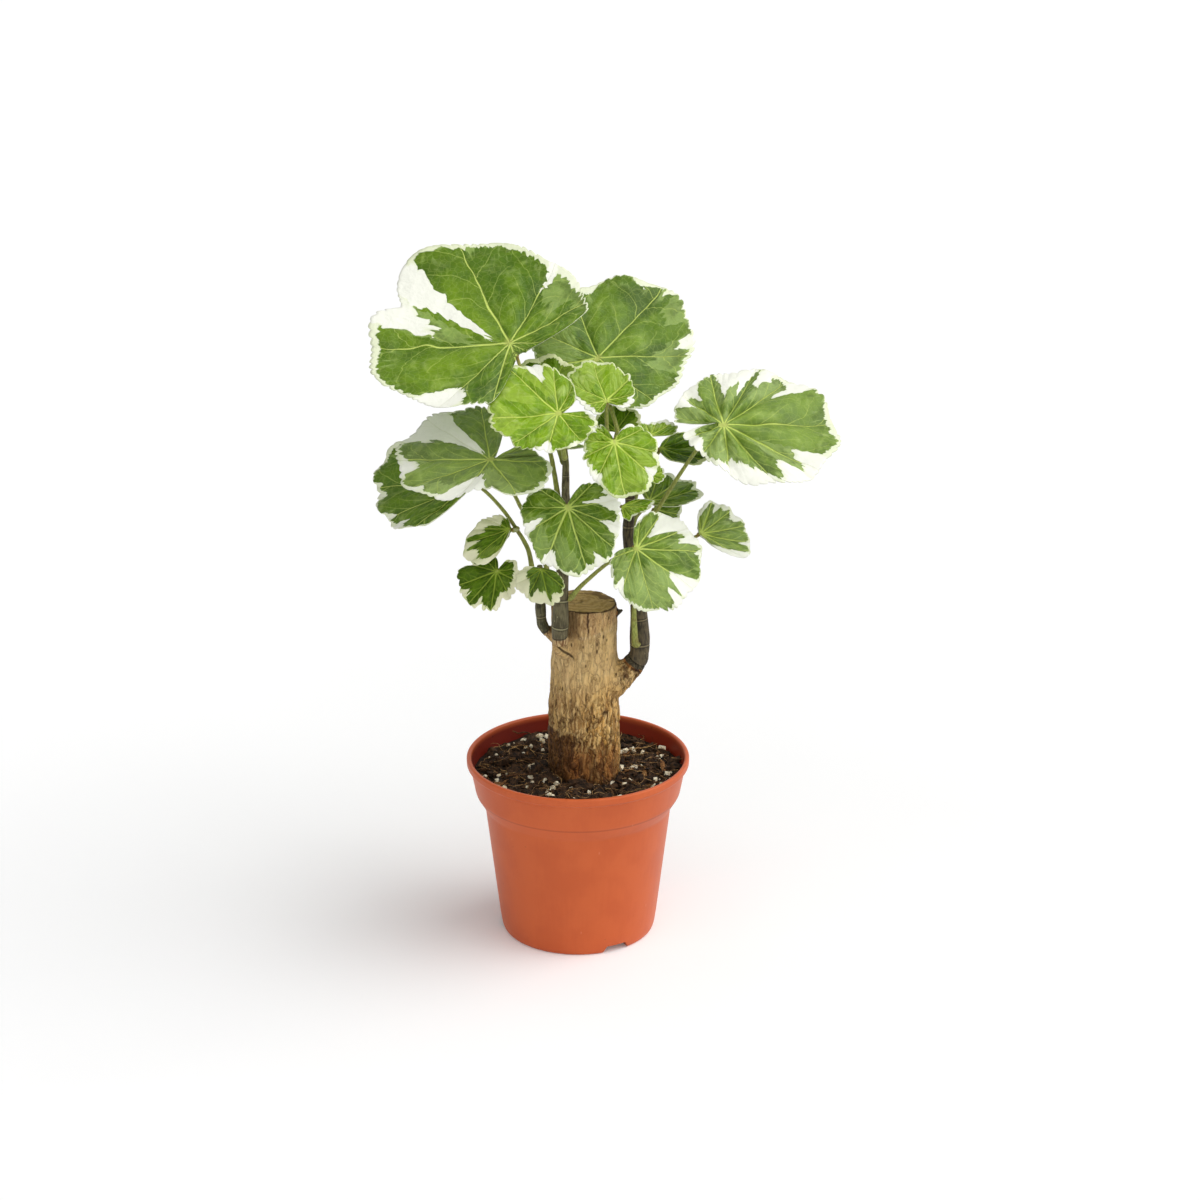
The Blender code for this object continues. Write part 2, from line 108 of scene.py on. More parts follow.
# Where the shoots' own skin starts along each collar, and along the spur.
SKIN_STARTS = (0.9, 0.96, 0.74, 0.2)
STEM_KNEE = 1.5
STEMS = {
    "left": Run(((-18.6, -9.3, 179.5), (-19.4, -9, 186), (-19.5, -9, 196), (-19.7, -9, 205),
                 (-19.7, -9, 212)), (2.9, 2.9, 2.8, 2.8, 2.6, 2.2, 1.4)),
    "front": Run(((-9.2, -24.1, 180), (-8.9, -24.7, 186), (-8.6, -24.5, 193.5), (-8.4, -23.5, 203),
                  (-7.4, -21.5, 216), (-6, -20, 232), (-5.6, -19, 244), (-6, -18.4, 256),
                  (-5.8, -18, 270), (-6.6, -19, 283)),
                 (4.2, 4.3, 4.3, 4.3, 4.2, 3.8, 3.0, 2.5, 2.3, 2.2, 1.8, 1.2)),
    "right": Run(((33, -8, 165), (32.9, -8, 174), (32.3, -8, 186), (30.9, -8, 199), (28, -8, 215),
                  (26.6, -8, 231), (27.6, -7.5, 246), (26.4, -6, 259), (22.6, -4, 272)),
                 (5.4, 5.4, 5.3, 5.0, 4.6, 3.8, 3.2, 2.9, 2.7, 2.3, 1.4)),
}

# A leaf. hub: where its petiole meets the blade. face: azimuth (from the front towards +X) and
# elevation of the way the blade looks. The margin starts in the direction `first` and runs
# counter-clockwise seen from the face, with a reach every `step` degrees. cup: how far the margin
# rises (or, below zero, droops). grip: the stem or petiole that carries it and the height there.
# route: points that its petiole passes.
Leaf = namedtuple("Leaf", "hub face first step reach cup grip route")
LEAVES = {
    "crown_left": Leaf(
        (-30.7, -8, 326.6), (-8, 58), 37, 32, (44, 61, 77, 90, 83, 74, 51, 30), 4,
        ("stem_front", 251), ((-13.4, -16, 275), (-19, -14, 294), (-26, -11, 312))),
    "crown_right": Leaf(
        (9.3, 26, 313.2), (6, 48), -78, 30, (30, 38, 45, 55, 63, 57, 45, 38, 34, 30, 20), -3,
        ("stem_right", 262), ((20, 8, 285), (14, 18, 300))),
    "young_centre": Leaf(
        (-7.9, -36, 304.4), (-5, 55), 48, 30, (10, 20, 31, 41, 40, 36, 30, 26, 24, 21, 19, 10), 2,
        ("stem_front", 276), ((-8, -29, 292),)),
    "young_top": Leaf(
        (15.5, -22, 305.8), (5, 50), -35, 29, (9, 13, 16, 20, 23, 26, 25, 17, 12, 10, 7), 2,
        ("stem_right", 266), ((16, -20, 288),)),
    "young_front": Leaf(
        (19, -42, 292), (5, 42), 118, 30, (10, 13, 15, 18, 23, 31, 32, 26, 22, 16, 9), -2,
        ("stem_right", 256), ((22, -30, 276),)),
    "side_left": Leaf(
        (-42.4, -30, 277.8), (-12, 60), 85, 30, (24, 41, 50, 53, 48, 34, 20, 25, 33, 31, 21, 14), -3,
        ("stem_front", 204), ((-20, -25, 232), (-29, -25, 250), (-37, -27, 268))),
    "hanging_left": Leaf(
        (-52.9, -14, 259.4), (-30, 38), 118, 17, (24, 31, 46, 60, 62, 58, 50, 30), -3,
        ("stem_left", 205), ((-25.5, -11, 221), (-31.5, -12, 233), (-38, -13, 243.5), (-46, -13, 253))),
    "folded_left": Leaf(
        (-34, -26, 238.3), (-35, 40), 126, 24, (6, 12, 20, 27, 30, 24, 9), -2,
        ("petiole_hanging_left", 234), ()),
    "low_left": Leaf(
        (-41.1, -26, 215.7), (-15, 38), 98, 30, (5, 12, 17, 22, 23, 24, 21, 16, 13, 11, 10, 6), -2,
        ("stem_left", 195), ((-30, -15, 203), (-37, -17, 209))),
    "base_left": Leaf(
        (-18.6, -34, 219.8), (5, 62), 160, 31, (6, 13, 18, 22, 24, 16, 7), -2,
        ("stem_left", 209), ((-19.4, -22, 214),)),
    "front_centre": Leaf(
        (-4.9, -44, 257.8), (0, 45), 125, 30, (12, 20, 24, 26, 33, 39, 37, 30, 27, 22, 11), -3,
        ("stem_front", 238), ((-5.2, -30, 246),)),
    "front_right": Leaf(
        (29.4, -38, 232.8), (12, 40), 178, 30, (6, 15, 24, 34, 38, 38, 36, 30, 22, 8), -3,
        ("stem_front", 200), ((1.5, -25, 206), (11.9, -28, 217), (20, -33, 225))),
    "fan_right": Leaf(
        (63.8, -4, 227.7), (40, 45), -66, 22, (10, 29, 30, 30, 27, 23, 10), 2,
        ("stem_right", 170), ((29.8, -15, 186), (31, -14.5, 198), (38, -12, 211), (50, -9, 222))),
    "far_right": Leaf(
        (73.6, -2, 287), (10, 60), -172, 32, (21, 22, 26, 41, 56, 64, 62, 49, 38, 30, 25, 23), -4,
        ("stem_right", 224), ((41.7, -4, 241), (53.6, -3, 260.6), (64, -2, 276))),
    "shade_right": Leaf(
        (43, 20, 267), (-10, 75), -62, 30, (8, 24, 30, 30, 20, 8), -1,
        ("stem_right", 246), ((34, 2, 258),)),
    "rolled_right": Leaf(
        (38, -1, 281), (20, 70), -20, 30, (12, 16, 15, 10, 10, 9, 5), 2,
        ("stem_right", 268), ((31, -3, 276),)),
    "bud_right": Leaf(
        (38.2, -14, 263.5), (30, 40), -100, 42, (4, 6, 8, 8, 6, 4), 1,
        ("stem_right", 252), ((33, -11, 257),)),
    "back_right": Leaf(
        (37.1, 6, 242), (15, 70), -30, 26, (10, 29, 30, 26, 22, 14), 2,
        ("stem_right", 230), ((31, 0, 236),)),
    "tiny_right": Leaf(
        (22.9, -14, 246.8), (0, 50), -88, 24, (6, 10, 9, 13, 17, 7), 1,
        ("stem_right", 241), ()),
    "pale_right": Leaf(
        (40, 8, 237), (25, 45), -62, 30, (7, 14, 17, 13, 6), -1,
        ("stem_right", 219), ()),
    "shade_centre": Leaf(
        (-16, 2, 300), (-4, 50), -10, 32, (14, 20, 24, 27, 26, 22, 16), 1,
        ("stem_front", 272), ((-13, -8, 289),)),
    "edge_centre": Leaf(
        (-6, -4, 275), (0, 100), -20, 36, (9, 11, 12, 12, 12, 11, 8), 1,
        ("stem_front", 263), ((-6, -9, 269),)),
    "back_centre": Leaf(
        (20.5, 12, 279), (8, 45), 0, 36, (13, 16, 16, 15, 13, 9), 1,
        ("stem_right", 256), ((19, 6, 268),)),
}
LOBE_NOTCH = 0.05
# Deeper notches of a margin: place along it in steps, share of the reach, and width in steps.
BITES = {
    "crown_left": ((3.75, 0.16, 0.2),),
    "low_left": ((2.45, 0.25, 0.16), (5.1, 0.2, 0.14), (6.3, 0.22, 0.14)),
}
PETIOLE_RADIUS = 1.1
PETIOLE_KNEE = 1.2
BLADE_GAP = 0.8

# How a leaf is coloured. midrib and veins: places along the margin, counted in steps. green and
# grey: pairs of such a place and the tenths of the reach up to which the blade is green, and up
# to which that green is full; past it the green is greyed. heart: share of the midrib's reach at
# which the veins meet. shade: how dark the leaf is painted, or below 0 how light; partly the leaf's
# own tone and partly painted light and shade, as side_left is lightened where it lies in shadow.
# pleat: how strongly it is folded between veins.
Skin = namedtuple("Skin", "midrib veins green grey heart shade pleat", defaults=(0.04, 0.0, 1.0))
SKINS = {
    "crown_left": Skin(
        2.6, (0.4, 1.3, 2.6, 4.5, 5.95, 6.8),
        (0, 9.6, 0.7, 9.6, 0.78, 8.6, 1.25, 8.8, 1.35, 6.5, 1.42, 8.8, 1.6, 9.3, 3.1, 9.4, 3.2, 7.5, 3.28,
         2.2, 3.52, 2.2, 3.56, 6.4, 3.62, 8.4, 3.76, 8.2, 3.84, 6.2, 4.08, 6, 4.15, 8.8, 5.4, 9.6, 5.5, 9,
         5.6, 7.6, 5.85, 6.2, 6, 6.6, 6.15, 8.2, 6.3, 9.7, 7, 9.7),
        (0, 10, 0.75, 8, 0.85, 5.5, 1.25, 6, 1.4, 9, 1.5, 10, 3.6, 10, 3.72, 5, 3.8, 3.2, 4.1, 3.2, 4.16,
         10, 7, 10), heart=0.11),
    "crown_right": Skin(
        4.2, (1.2, 2.75, 4.2, 6, 7.4, 8.8),
        (0, 9.2, 2.85, 9.2, 2.95, 8, 3.1, 8.2, 3.15, 9.8, 4, 9.9, 4.1, 8.5, 4.2, 9.7, 4.4, 9.4, 4.5, 8.6,
         4.7, 9.8, 5.3, 9.8, 5.5, 8.6, 6, 9.2, 8, 9.5, 10, 9.2),
        (0, 10, 2.2, 10, 2.35, 5.5, 2.9, 6, 3.1, 7.5, 3.2, 10, 3.4, 9.5, 3.5, 7.5, 3.9, 8, 4, 10, 6.4, 10,
         6.8, 3, 8.8, 3, 9, 10, 10, 10), shade=-0.03),
    "far_right": Skin(
        5.4, (0.4, 1.5, 2.6, 3.5, 4.3, 5.4, 6.5, 7.1, 8.1, 9.2, 10.4),
        (0, 6.8, 1.2, 6.8, 1.4, 8.2, 1.9, 8.8, 2.3, 8.3, 2.6, 7.6, 2.75, 6.2, 3.1, 6.6, 3.3, 7.6, 3.4, 7.2,
         3.55, 8.4, 3.62, 9.2, 3.72, 8.2, 3.9, 6.6, 4.02, 6.8, 4.12, 8.6, 4.42, 7.4, 4.52, 6.8, 4.62, 8.8,
         5, 9.6, 5.15, 8.6, 5.3, 9.2, 5.5, 9, 5.9, 10, 6.12, 9.6, 6.2, 7, 6.3, 6.4, 6.4, 8.4, 6.55, 9.2,
         6.7, 8.6, 6.8, 6.8, 6.9, 7.2, 7.05, 10, 7.15, 5.4, 7.3, 7.6, 7.5, 6.4, 7.65, 5, 7.8, 7, 8, 10, 8.2,
         9.8, 8.4, 10, 8.7, 7.8, 8.8, 5.4, 9, 8, 9.3, 8.3, 9.5, 6, 9.7, 7.2, 10, 9.4, 10.6, 9.4, 11, 9),
        (0, 4, 1.3, 3, 3, 2.5, 3.2, 10, 3.9, 10, 4, 3, 4.5, 3, 4.6, 10, 6.3, 10, 6.4, 5, 6.8, 5, 6.9, 10,
         7.1, 10, 7.2, 4, 7.9, 4, 8, 10, 8.8, 10, 8.9, 4, 9.6, 4, 9.8, 3, 11, 4), shade=-0.1, pleat=2.2),
    "side_left": Skin(
        3.7, (0.9, 2.1, 3.3, 4.1, 5.3, 7.4, 9.3, 10.5),
        (0, 9.4, 0.7, 9.8, 1.6, 9.6, 1.72, 8, 1.8, 4, 1.9, 1.6, 2.4, 1.6, 2.48, 5, 2.6, 7.8, 2.7, 6.8,
         2.85, 9.6, 3.15, 9.2, 3.3, 8.6, 3.5, 7.8, 3.65, 8, 3.8, 9.6, 4, 9.4, 4.15, 8.2, 4.4, 9.4, 4.7, 8.9,
         4.85, 7, 5.1, 4.6, 5.5, 4.2, 5.8, 6.5, 6.1, 9.2, 7.3, 9.4, 8.3, 8.6, 8.5, 9.6, 9, 8.6, 9.4, 9.6,
         11, 9.6),
        (0, 10, 4.1, 10, 4.3, 7, 4.8, 6.5, 5, 3, 6, 3, 7.2, 4, 7.6, 10, 11, 10), shade=-0.18),
    "hanging_left": Skin(
        3.4, (0.6, 1.8, 3, 4.3, 5.5, 6.5),
        (0, 8.4, 2, 8.6, 3, 9, 3.2, 9.4, 4.15, 10, 4.2, 8.6, 4.35, 9.5, 4.5, 9, 4.62, 8.4, 4.8, 9.6, 5.2,
         10, 5.5, 8.2, 5.6, 9.8, 5.85, 8.8, 5.95, 7.6, 6.1, 9, 6.5, 10, 6.8, 9, 7, 9),
        (0, 10, 7, 10), shade=0.1),
    "front_centre": Skin(
        5.4, (0.7, 1.9, 3, 4.2, 5.35, 6.35, 7.05, 8.1, 9.3),
        (0, 8, 0.6, 9, 0.8, 8.6, 1.2, 8.8, 1.4, 9.7, 2.6, 9.7, 2.72, 7, 2.85, 5.6, 3, 6.8, 3.15, 9, 3.6,
         9.9, 4.05, 9.6, 4.15, 7.4, 4.3, 7.6, 4.5, 8.2, 4.65, 9.7, 4.95, 8.8, 5.2, 9.4, 5.4, 8.6, 5.6, 9,
         5.75, 7.6, 5.9, 9, 6.1, 9.8, 6.6, 9.6, 6.8, 8, 6.95, 6, 7.1, 7.4, 7.25, 9.2, 7.6, 8.8, 7.8, 7, 8,
         5.6, 8.05, 3, 8.2, 3, 8.3, 7, 8.45, 8.6, 8.6, 7.8, 8.9, 9.4, 9.6, 9.8, 10, 9),
        (0, 10, 2.5, 10, 2.6, 5, 3.1, 6, 3.5, 5.5, 4, 6.5, 4.4, 4.5, 5.1, 6, 5.3, 10, 10, 10), shade=0.32),
    "young_centre": Skin(
        4.6, (0.9, 1.8, 2.95, 4.7, 5.8, 7, 8.6, 10.2),
        (0, 9, 1, 9.2, 1.9, 9.3, 2.15, 9, 2.25, 6.8, 2.45, 6.6, 2.55, 9, 3.2, 9.3, 3.6, 8.8, 4.2, 9.5, 4.8,
         9.2, 5.4, 9.6, 6.4, 9.7, 6.6, 9, 6.8, 7.6, 7, 7, 7.2, 8.6, 7.3, 9.3, 7.8, 9.2, 8, 8.4, 8.2, 8.2,
         8.5, 9.4, 9.2, 9.3, 9.4, 8.4, 9.6, 9.3, 10.2, 8, 11, 8.5),
        (0, 10, 1.8, 10, 1.95, 4, 2.7, 3, 2.9, 10, 3.2, 10, 3.3, 4, 3.9, 3.5, 4, 10, 4.3, 7, 5.4, 6.5, 5.5,
         10, 11, 10)),
    "young_top": Skin(
        4.8, (0.6, 1.8, 2.8, 4.8, 6.3, 7.6, 9),
        (0, 5.5, 0.8, 7, 1.3, 8, 1.5, 7.4, 1.8, 9.6, 2.7, 9.6, 2.8, 8.2, 3, 9, 3.8, 9.4, 4.4, 8.8, 5.2,
         9.2, 5.8, 9, 6.6, 9.2, 7, 8, 7.6, 7.5, 8.2, 7, 9, 8, 10, 8.5),
        (0, 10, 2.7, 10, 2.9, 4, 3.9, 3.5, 4.1, 10, 4.5, 5, 7, 3.5, 8.5, 4.5, 8.8, 10, 10, 10), shade=0.2),
    "young_front": Skin(
        5.4, (0.8, 2, 3, 4.2, 5.3, 6.5, 7.5, 8.8),
        (0, 8.5, 0.7, 8.6, 1.1, 7.5, 1.4, 8.6, 2.1, 9.2, 2.6, 8.6, 3.2, 9.4, 3.6, 8.8, 4.2, 7.6, 4.5, 8.6,
         4.7, 9.2, 5.4, 9, 5.8, 9.4, 6.4, 8.4, 6.6, 7.6, 6.9, 9.2, 7.4, 8.2, 7.5, 9.3, 8.8, 9.6, 9.4, 8,
         9.6, 6.8, 10, 6.5),
        (0, 10, 1.3, 10, 1.5, 5.5, 2.3, 5, 2.5, 10, 4.9, 10, 5.1, 6.5, 6.3, 6, 6.5, 5, 7.3, 4.5, 7.5, 10,
         10, 10), shade=0.2),
    "low_left": Skin(
        4.4, (0.5, 1.5, 2.5, 3.6, 4.6, 5.7, 6.8, 8, 9.2, 10.4),
        (0, 9, 0.3, 9.5, 2, 9.6, 2.3, 8.6, 2.5, 7, 2.55, 9.2, 2.8, 9.6, 3.3, 10, 3.75, 10, 3.85, 8.6, 4.05,
         7.4, 4.15, 9, 4.2, 7.6, 4.3, 9, 4.6, 10, 4.8, 9.2, 4.9, 7.2, 5, 7.6, 5.15, 9.6, 5.3, 8.2, 5.7, 9.6,
         6, 7.6, 6.2, 7, 6.4, 8.2, 6.6, 7, 6.9, 7.4, 8, 7, 9.6, 8, 11, 8),
        (0, 10, 11, 10), shade=0.45),
    "folded_left": Skin(
        3.2, (0.8, 1.9, 2.7, 3.4, 4.4, 5.4),
        (0, 9, 0.8, 8, 1.2, 6, 1.6, 4.5, 2, 3.5, 2.25, 3.2, 2.3, 5.5, 2.6, 7, 2.8, 6.6, 3, 5.2, 3.1, 8.5,
         3.2, 10, 3.4, 8.5, 3.5, 6.5, 3.65, 7.6, 3.8, 8.8, 3.95, 7.4, 4.2, 7.4, 4.5, 8.4, 4.9, 8.2, 5.3, 7,
         6, 8),
        (0, 10, 4.2, 10, 4.4, 5, 6, 5)),
    "base_left": Skin(
        3.6, (0.6, 1.8, 2.8, 3.8, 4.9, 5.6),
        (0, 5, 1, 5.5, 2.4, 5.5, 2.6, 7, 2.75, 8.2, 2.9, 8.8, 3.05, 7.4, 3.2, 6.2, 3.5, 7.4, 3.75, 6.2,
         3.85, 8.8, 4, 8, 4.2, 7.2, 4.5, 8.8, 4.8, 9.2, 5.4, 9, 6, 8),
        (0, 10, 6, 10), shade=-0.06),
    "fan_right": Skin(
        2.8, (0.9, 1.8, 2.7, 3.7, 4.8, 5.6),
        (0, 5, 0.9, 6, 1.1, 7, 1.2, 9, 1.35, 9.8, 1.5, 8.8, 1.65, 7.6, 1.85, 9.2, 2.2, 9.8, 2.4, 9.2, 2.6,
         9.9, 2.95, 9.2, 3.1, 7.8, 3.4, 8, 3.6, 8.8, 3.75, 9.2, 3.95, 8, 4.2, 8.8, 4.35, 7.4, 4.45, 6.4,
         4.55, 8.8, 4.75, 9.2, 4.9, 8.8, 5.1, 7.6, 5.5, 7, 6, 6.5),
        (0, 1.5, 1.1, 2.5, 1.3, 10, 2.9, 10, 3.1, 6, 3.4, 6, 3.5, 10, 6, 10), shade=-0.12),
    "front_right": Skin(
        4.7, (0.8, 2.3, 3.4, 4.75, 5.85, 6.6, 7.6, 8.4),
        (0, 9.4, 1.2, 9.2, 1.5, 8.2, 1.8, 9.6, 2.1, 7.6, 2.3, 7.2, 2.5, 9.4, 3, 8.8, 3.3, 9.4, 3.8, 10, 4,
         8.6, 4.1, 7.2, 4.2, 7, 4.35, 9.2, 4.45, 7.4, 4.55, 6.6, 4.75, 6, 4.9, 7.4, 5.05, 9.4, 5.3, 10, 5.6,
         9.4, 5.75, 8, 5.9, 9.8, 6.05, 8.4, 6.15, 6.6, 6.4, 8.4, 6.7, 7.6, 6.8, 5.6, 6.9, 3.4, 7.1, 3, 7.4,
         5.5, 7.5, 7.4, 7.7, 9, 8, 9.6, 8.3, 8.6, 9, 9),
        (0, 6, 1, 4, 2.2, 2.8, 4.7, 2.8, 4.8, 10, 5.6, 10, 5.8, 6, 6.1, 5, 6.5, 10, 6.8, 4, 7.4, 3, 7.6,
         10, 9, 10), shade=-0.06),
}
YOUNG = ("young_centre", "young_top", "young_front", "bud_right", "tiny_right", "rolled_right")
SMALL = ("folded_left", "low_left", "base_left", "shade_right", "edge_centre", "shade_centre", "back_centre")
SPOKE_SPACING = 0.7
RING_SPACING = 1.9
# The reach of the smallest leaf with full teeth, and the pitch of teeth: at no size, and what a
# full size adds to it.
FULL_TOOTH_REACH = 38
TOOTH_PITCH = (3.0, 2.0)


# ---------------------------------------------------------------- places and paths

def metres(points):
    """Table millimetres as metres in the model's frame."""
    return (np.asarray(points, float) + np.array(AXIS) / MM) * MM


def polar(radius, degrees, height=0.0):
    angle = math.radians(degrees)
    return Vector((radius * math.cos(angle), radius * math.sin(angle), height))


def smooth(values, steps):
    """Points of a Catmull-Rom curve through the given rows, steps to each stretch."""
    rows = np.asarray(values, float).reshape(len(values), -1)
    if len(rows) < 3:
        return rows
    ends = np.vstack([2 * rows[0] - rows[1], rows, 2 * rows[-1] - rows[-2]])
    a, b, c, d = ends[:-3], ends[1:-2], ends[2:-1], ends[3:]
    path = []
    for k in range(steps):
        t = k / steps
        path.append(0.5 * (2 * b + (c - a) * t + (2 * a - 5 * b + 4 * c - d) * t ** 2
                           + (3 * b - a - 3 * c + d) * t ** 3))
    inner = np.stack(path, axis=1).reshape(-1, rows.shape[1])
    return np.vstack([inner, rows[-1:]])


def smooth_run(run, steps):
    return Run(smooth(run.points, steps), smooth(run.radii, steps)[:, 0])


def unit(vector):
    return vector / np.linalg.norm(vector)


def stem_run(side):
    """A shoot's smooth path, whose first face lies against its collar's end face."""
    before, end = smooth_run(COLLARS[side], 3).points[-2:]
    along = unit(end - before)
    foot = end + along * GAP
    rest = smooth_run(Run([foot + along * STEM_KNEE, *STEMS[side].points], STEMS[side].radii[1:]), 2)
    return Run(np.vstack([foot, rest.points]), np.append(STEMS[side].radii[0], rest.radii))


def carrier_at(run, height):
    """Point, radius and direction of a stem or petiole at a height."""
    for k, (low, high) in enumerate(zip(run.points, run.points[1:])):
        if low[2] <= height <= high[2]:
            t = (height - low[2]) / (high[2] - low[2])
            radius = run.radii[k] + (run.radii[k + 1] - run.radii[k]) * t
            return low + (high - low) * t, radius, unit(high - low)
    raise ValueError("no point of the carrier at height %g" % height)


def blade_axes(leaf):
    """Unit vectors of a blade: to the right, up its slope, and out of its face."""
    azimuth, elevation = [math.radians(a) for a in leaf.face]
    out = np.array((math.sin(azimuth) * math.cos(elevation), -math.cos(azimuth) * math.cos(elevation),
                    math.sin(elevation)))
    right = np.array((math.cos(azimuth), math.sin(azimuth), 0))
    return right, np.cross(out, right), out


def petiole_run(leaf, paths):
    """A petiole's path: square off its carrier, along its route, and square onto its blade."""
    carrier, height = leaf.grip
    start, radius, along = carrier_at(paths[carrier], height)
    out = blade_axes(leaf)[2]
    tip = np.array(leaf.hub) - out * BLADE_GAP
    approach = tip - out * PETIOLE_KNEE
    route = [np.array(p, float) for p in leaf.route]
    away = (route + [approach])[0] - start
    away = unit(away - along * away.dot(along))
    foot = start + away * (radius + GAP)
    bends = smooth([foot + away * PETIOLE_KNEE, *route, approach], 2)
    points = np.vstack([foot, bends, tip])
    shares = np.arange(len(points)) / (len(points) - 1)
    return Run(points, PETIOLE_RADIUS * (1.25 - 0.35 * shares))


def all_paths():
    paths = {"stem_" + side: stem_run(side) for side in STEMS}
    for name, leaf in LEAVES.items():
        paths["petiole_" + name] = petiole_run(leaf, paths)
    return paths


def trunk_at(height):
    """Centre and radius of the trunk at a height."""
    rows = np.array(TRUNK, float)
    x, y, radius = [float(np.interp(height, rows[:, 0], rows[:, k])) for k in (1, 2, 3)]
    return Vector((x, y, height)), radius


def wall_at(height):
    """Clear radius inside the pot at a height, or at many."""
    rows = np.array(POT_SIDE[1:5])
    return np.interp(height, rows[:, 1], rows[:, 0]) - POT_WALL


# ---------------------------------------------------------------- node trees as expressions

class Wire:
    """One output in a node tree. Arithmetic on it adds Math nodes."""

    def __init__(self, board, socket):
        self.board = board
        self.socket = socket

    def __add__(self, other):
        return self.board.maths("ADD", self, other)

    def __sub__(self, other):
        return self.board.maths("SUBTRACT", self, other)

    def __rsub__(self, other):
        return self.board.maths("SUBTRACT", other, self)

    def __mul__(self, other):
        return self.board.maths("MULTIPLY", self, other)

    def __truediv__(self, other):
        return self.board.maths("DIVIDE", self, other)

    def __rtruediv__(self, other):
        return self.board.maths("DIVIDE", other, self)

    def __pow__(self, other):
        return self.board.maths("POWER", self, other)

    def __abs__(self):
        return self.board.maths("ABSOLUTE", self)

    __radd__ = __add__
    __rmul__ = __mul__


class Board:
    """A node tree, shader or geometry, whose nodes are all made by one method."""

    def __init__(self, tree):
        self.tree = tree

    def node(self, kind, settings=None, sockets=None, output=0):
        made = self.tree.nodes.new(kind)
        for key, value in (settings or {}).items():
            setattr(made, key, value)
        for key, value in (sockets or {}).items():
            self.feed(made.inputs[key], value)
        return Wire(self, made.outputs[output])

    def feed(self, socket, value):
        if isinstance(value, Wire):
            self.tree.links.new(value.socket, socket)
        else:
            socket.default_value = value

    def maths(self, operation, *values):
        return self.node("ShaderNodeMath", {"operation": operation}, dict(enumerate(values)))

    def larger(self, first, second):
        return self.maths("MAXIMUM", first, second)

    def vector(self, operation, *values):
        return self.node("ShaderNodeVectorMath", {"operation": operation}, dict(enumerate(values)))

    def scaled(self, vector, amount):
        return self.node("ShaderNodeVectorMath", {"operation": "SCALE"}, {"Vector": vector, "Scale": amount})

    def stretched(self, vector, x, y, z):
        return self.vector("MULTIPLY", vector, (x, y, z))

    def length(self, vector):
        return self.node("ShaderNodeVectorMath", {"operation": "LENGTH"}, {0: vector}, "Value")

    def parts(self, vector):
        split = self.node("ShaderNodeSeparateXYZ", sockets={0: vector}).socket.node
        return [Wire(self, socket) for socket in split.outputs]

    def join(self, x=0.0, y=0.0, z=0.0):
        return self.node("ShaderNodeCombineXYZ", sockets={"X": x, "Y": y, "Z": z})

    def step(self, value, low, high):
        """0 below low and 1 above high, with a soft change between; low may be the greater."""
        return self.node("ShaderNodeMapRange", {"interpolation_type": "SMOOTHSTEP"},
                         {"Value": value, "From Min": low, "From Max": high}, "Result")

    def noise(self, place, scale, detail=2.0, roughness=0.5, bend=0.0):
        return self.node("ShaderNodeTexNoise", None, {"Vector": place, "Scale": scale, "Detail": detail,
                                                      "Roughness": roughness, "Distortion": bend}, "Fac")

    def cells(self, place, scale, feature="F1", output="Distance"):
        return self.node("ShaderNodeTexVoronoi", {"feature": feature}, {"Vector": place, "Scale": scale},
                         output)


class Paint(Board):
    """A procedural material written as expressions."""

    def __init__(self, name):
        self.material = bpy.data.materials.new(name)
        self.material.use_nodes = True
        super().__init__(self.material.node_tree)
        self.shader = self.tree.nodes["Principled BSDF"]

    def attribute(self, name, output="Fac"):
        return self.node("ShaderNodeAttribute", {"attribute_name": name}, None, output)

    def place(self):
        """Object coordinates in millimetres from the pot's axis."""
        here = self.node("ShaderNodeTexCoord", None, None, "Object")
        return self.node("ShaderNodeMapping", None, {"Vector": here, "Location": tuple(-AXIS / MM),
                                                     "Scale": (1 / MM,) * 3})

    def lot_of(self, value):
        """A lot from 0 to 1 for each whole step of a value."""
        return self.node("ShaderNodeTexWhiteNoise", {"noise_dimensions": "1D"},
                         {"W": self.maths("FLOOR", value)}, "Value")

    def mix(self, factor, first, second, blend="MIX"):
        return self.node("ShaderNodeMix", {"data_type": "RGBA", "blend_type": blend},
                         {0: factor, 6: first, 7: second}, 2)

    def coats(self, tone, *layers):
        """The tone with each layer, a mask and a colour, laid over it in turn."""
        for mask, above in layers:
            tone = self.mix(mask, tone, above)
        return tone

    def finish(self, tone, roughness, height, specular_ior_level):
        """Feed the shader. height is in millimetres along the normal, or None."""
        self.feed(self.shader.inputs["Base Color"], tone)
        self.feed(self.shader.inputs["Roughness"], roughness)
        if height is not None:
            bump = self.node("ShaderNodeBump", None, {"Height": height, "Distance": MM, "Strength": 1.0})
            self.feed(self.shader.inputs["Normal"], bump)
        self.shader.inputs["Specular IOR Level"].default_value = specular_ior_level
        return self.material


